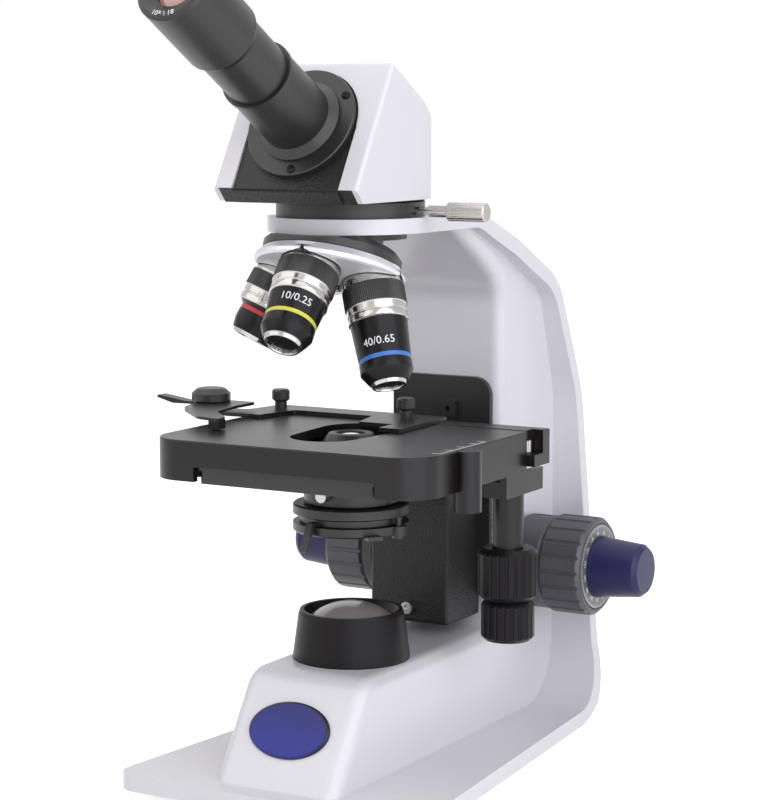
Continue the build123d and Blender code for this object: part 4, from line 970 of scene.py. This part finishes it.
class FlangeScrews(bpy.types.Operator):
    """Cross-recessed screws that hold the eyepiece tube's flange"""
    bl_idname = "microscope.flange_screws"
    bl_label = "Flange screws"

    def execute(self, context):
        seat, axis = joint_place("eyepiece_turn")
        place = frame_matrix(seat, Vector((1, 0, 0)), axis)
        for number, turn in enumerate(SCREW_TURNS):
            spoke = Vector((cos(radians(turn)), sin(radians(turn)), 0)) * SCREW_CIRCLE
            self.screw(number, place @ Matrix.Translation(spoke))
        return {"FINISHED"}

    def screw(self, number, place):
        """Low pan head with a cross recess of two crossing slots."""
        head = lathe(f"flange_screw_{number}", SCREW_PROFILE, place, "head", ["barrel_black"],
                     segments=48, ease=0.1)
        for turn in (0.0, 90.0):
            recess = bmesh.new()
            bmesh.ops.create_cube(recess, size=1.0)
            slot = Matrix.Rotation(radians(turn), 4, "Z") @ Matrix.Diagonal((*RECESS_SLOT, 1.0))
            recess.transform(place @ Matrix.Translation((0, 0, RECESS_HEIGHT)) @ slot)
            tool = bpy.data.objects.new("recess", bpy.data.meshes.new("recess"))
            recess.to_mesh(tool.data)
            recess.free()
            bpy.context.scene.collection.objects.link(tool)
            cut = head.modifiers.new("recess", "BOOLEAN")
            cut.object = tool
            cut.operation = "DIFFERENCE"
            bpy.context.view_layer.update()
            shown = head.evaluated_get(bpy.context.evaluated_depsgraph_get())
            carved = bpy.data.meshes.new_from_object(shown)
            head.modifiers.clear()
            head.data = carved
            bpy.data.objects.remove(tool)


# Studio, in millimetres from the optical axis; sizes of lamps and floor in metres
LIGHTS = (
    ("key", (-620, -700, 900), (1.0, 0.985, 0.97)),
    ("fill", (900, -500, 450), (0.93, 0.95, 1.0)),
    ("top", (0, 80, 1250), (1.0, 1.0, 1.0)),
)
LIGHT_SIZE = 1.6
LIGHT_AIM_HEIGHT = 150
FLOOR_HALF_WIDTH = 3.0
FLOOR_GLOW = 0.74
ROOM_COLOUR = (0.94, 0.95, 1.0, 1.0)
SENSOR_WIDTH = 36.0
CAMERA_PLACE = (487.0, -828.2, 279.9)
CAMERA_RIGHT = (0.8695, 0.4939, 0.0)
CAMERA_AHEAD = (-0.49, 0.8625, -0.1262)


class Studio(bpy.types.Operator):
    """Floor, soft lights and the camera"""
    bl_idname = "microscope.studio"
    bl_label = "Studio"

    def execute(self, context):
        studio = context.scene.microscope_studio
        self.floor(studio)
        self.world(studio)
        powers = (studio.key_power, studio.fill_power, studio.top_power)
        for (name, place, colour), power in zip(LIGHTS, powers):
            self.light(name, at(*place), power, colour)
        self.camera(studio)
        context.scene.view_settings.view_transform = "Standard"
        return {"FINISHED"}

    def seen_directly(self, tree):
        """1 for camera, mirror and glass rays."""
        path = tree.nodes.new("ShaderNodeLightPath")
        total = path.outputs["Is Camera Ray"]
        for ray in ("Is Glossy Ray", "Is Transmission Ray"):
            add = tree.nodes.new("ShaderNodeMath")
            add.operation = "ADD"
            add.use_clamp = True
            tree.links.new(total, add.inputs[0])
            tree.links.new(path.outputs[ray], add.inputs[1])
            total = add.outputs[0]
        return total

    def floor(self, studio):
        mesh = bpy.data.meshes.new("floor")
        half = FLOOR_HALF_WIDTH
        mesh.from_pydata([(-half, -half, 0), (half, -half, 0), (half, half, 0), (-half, half, 0)],
                         [], [(0, 1, 2, 3)])
        floor = bpy.data.objects.new("floor", mesh)
        bpy.context.scene.collection.objects.link(floor)
        material = bpy.data.materials.new("floor")
        material.use_nodes = True
        tree = material.node_tree
        shader = tree.nodes["Principled BSDF"]
        shader.inputs["Base Color"].default_value = (*studio.floor_colour, 1.0)
        shader.inputs["Roughness"].default_value = 0.9
        shader.inputs["Emission Color"].default_value = (1, 1, 1, 1)
        scale = tree.nodes.new("ShaderNodeMath")
        scale.operation = "MULTIPLY"
        scale.inputs[1].default_value = FLOOR_GLOW
        tree.links.new(self.seen_directly(tree), scale.inputs[0])
        tree.links.new(scale.outputs[0], shader.inputs["Emission Strength"])
        mesh.materials.append(material)

    def world(self, studio):
        world = bpy.data.worlds.new("room")
        bpy.context.scene.world = world
        world.use_nodes = True
        tree = world.node_tree
        ground = tree.nodes["Background"]
        ground.inputs["Color"].default_value = ROOM_COLOUR
        ground.inputs["Strength"].default_value = studio.world_strength
        bright = tree.nodes.new("ShaderNodeBackground")
        bright.inputs["Color"].default_value = (1.0, 1.0, 1.0, 1.0)
        bright.inputs["Strength"].default_value = 1.0
        mix = tree.nodes.new("ShaderNodeMixShader")
        tree.links.new(self.seen_directly(tree), mix.inputs[0])
        tree.links.new(ground.outputs[0], mix.inputs[1])
        tree.links.new(bright.outputs[0], mix.inputs[2])
        tree.links.new(mix.outputs[0], tree.nodes["World Output"].inputs["Surface"])

    def light(self, name, place, power, colour):
        lamp = bpy.data.lights.new(name, "AREA")
        lamp.energy = power
        lamp.shape = "DISK"
        lamp.size = LIGHT_SIZE
        lamp.color = colour
        holder = bpy.data.objects.new(name, lamp)
        bpy.context.scene.collection.objects.link(holder)
        holder.location = place
        aim = at(0, 0, LIGHT_AIM_HEIGHT) - place
        holder.rotation_euler = aim.to_track_quat("-Z", "Y").to_euler()

    def camera(self, studio):
        lens = bpy.data.cameras.new("camera")
        lens.lens = studio.focal_length
        lens.sensor_width = SENSOR_WIDTH
        lens.clip_start = 0.05
        holder = bpy.data.objects.new("camera", lens)
        bpy.context.scene.collection.objects.link(holder)
        right, ahead = Vector(CAMERA_RIGHT), Vector(CAMERA_AHEAD)
        up = right.cross(ahead)
        matrix = Matrix((right, up, -ahead)).transposed().to_4x4()
        matrix.translation = at(*CAMERA_PLACE)
        holder.matrix_world = matrix
        bpy.context.scene.camera = holder


OPERATORS = (DressStand, ArmSkin, DressDrive, DressStage, DressOptics, Objectives, Badge,
             FocusScale, StageScale, EyepieceMarks, FlangeScrews, Studio)


class MicroscopePanel(bpy.types.Panel):
    """Lists the microscope's pieces"""
    bl_label = "Microscope"
    bl_idname = "VIEW3D_PT_microscope"
    bl_space_type = "VIEW_3D"
    bl_region_type = "UI"
    bl_category = "Microscope"

    def draw(self, context):
        for operator in OPERATORS:
            self.layout.operator(operator.bl_idname)


SETTINGS = {"microscope_finish": MicroscopeFinish, "microscope_sizes": MicroscopeSizes,
            "microscope_studio": MicroscopeStudio}


def register():
    for group in SETTINGS.values():
        bpy.utils.register_class(group)
    for operator in OPERATORS:
        bpy.utils.register_class(operator)
    bpy.utils.register_class(MicroscopePanel)
    for name, group in SETTINGS.items():
        setattr(bpy.types.Scene, name, PointerProperty(type=group))


def unregister():
    for name in SETTINGS:
        delattr(bpy.types.Scene, name)
    bpy.utils.unregister_class(MicroscopePanel)
    for operator in reversed(OPERATORS):
        bpy.utils.unregister_class(operator)
    for group in SETTINGS.values():
        bpy.utils.unregister_class(group)


def main():
    register()
    for operator in OPERATORS:
        group, name = operator.bl_idname.split(".")
        getattr(getattr(bpy.ops, group), name)()


if __name__ == "__main__":
    main()
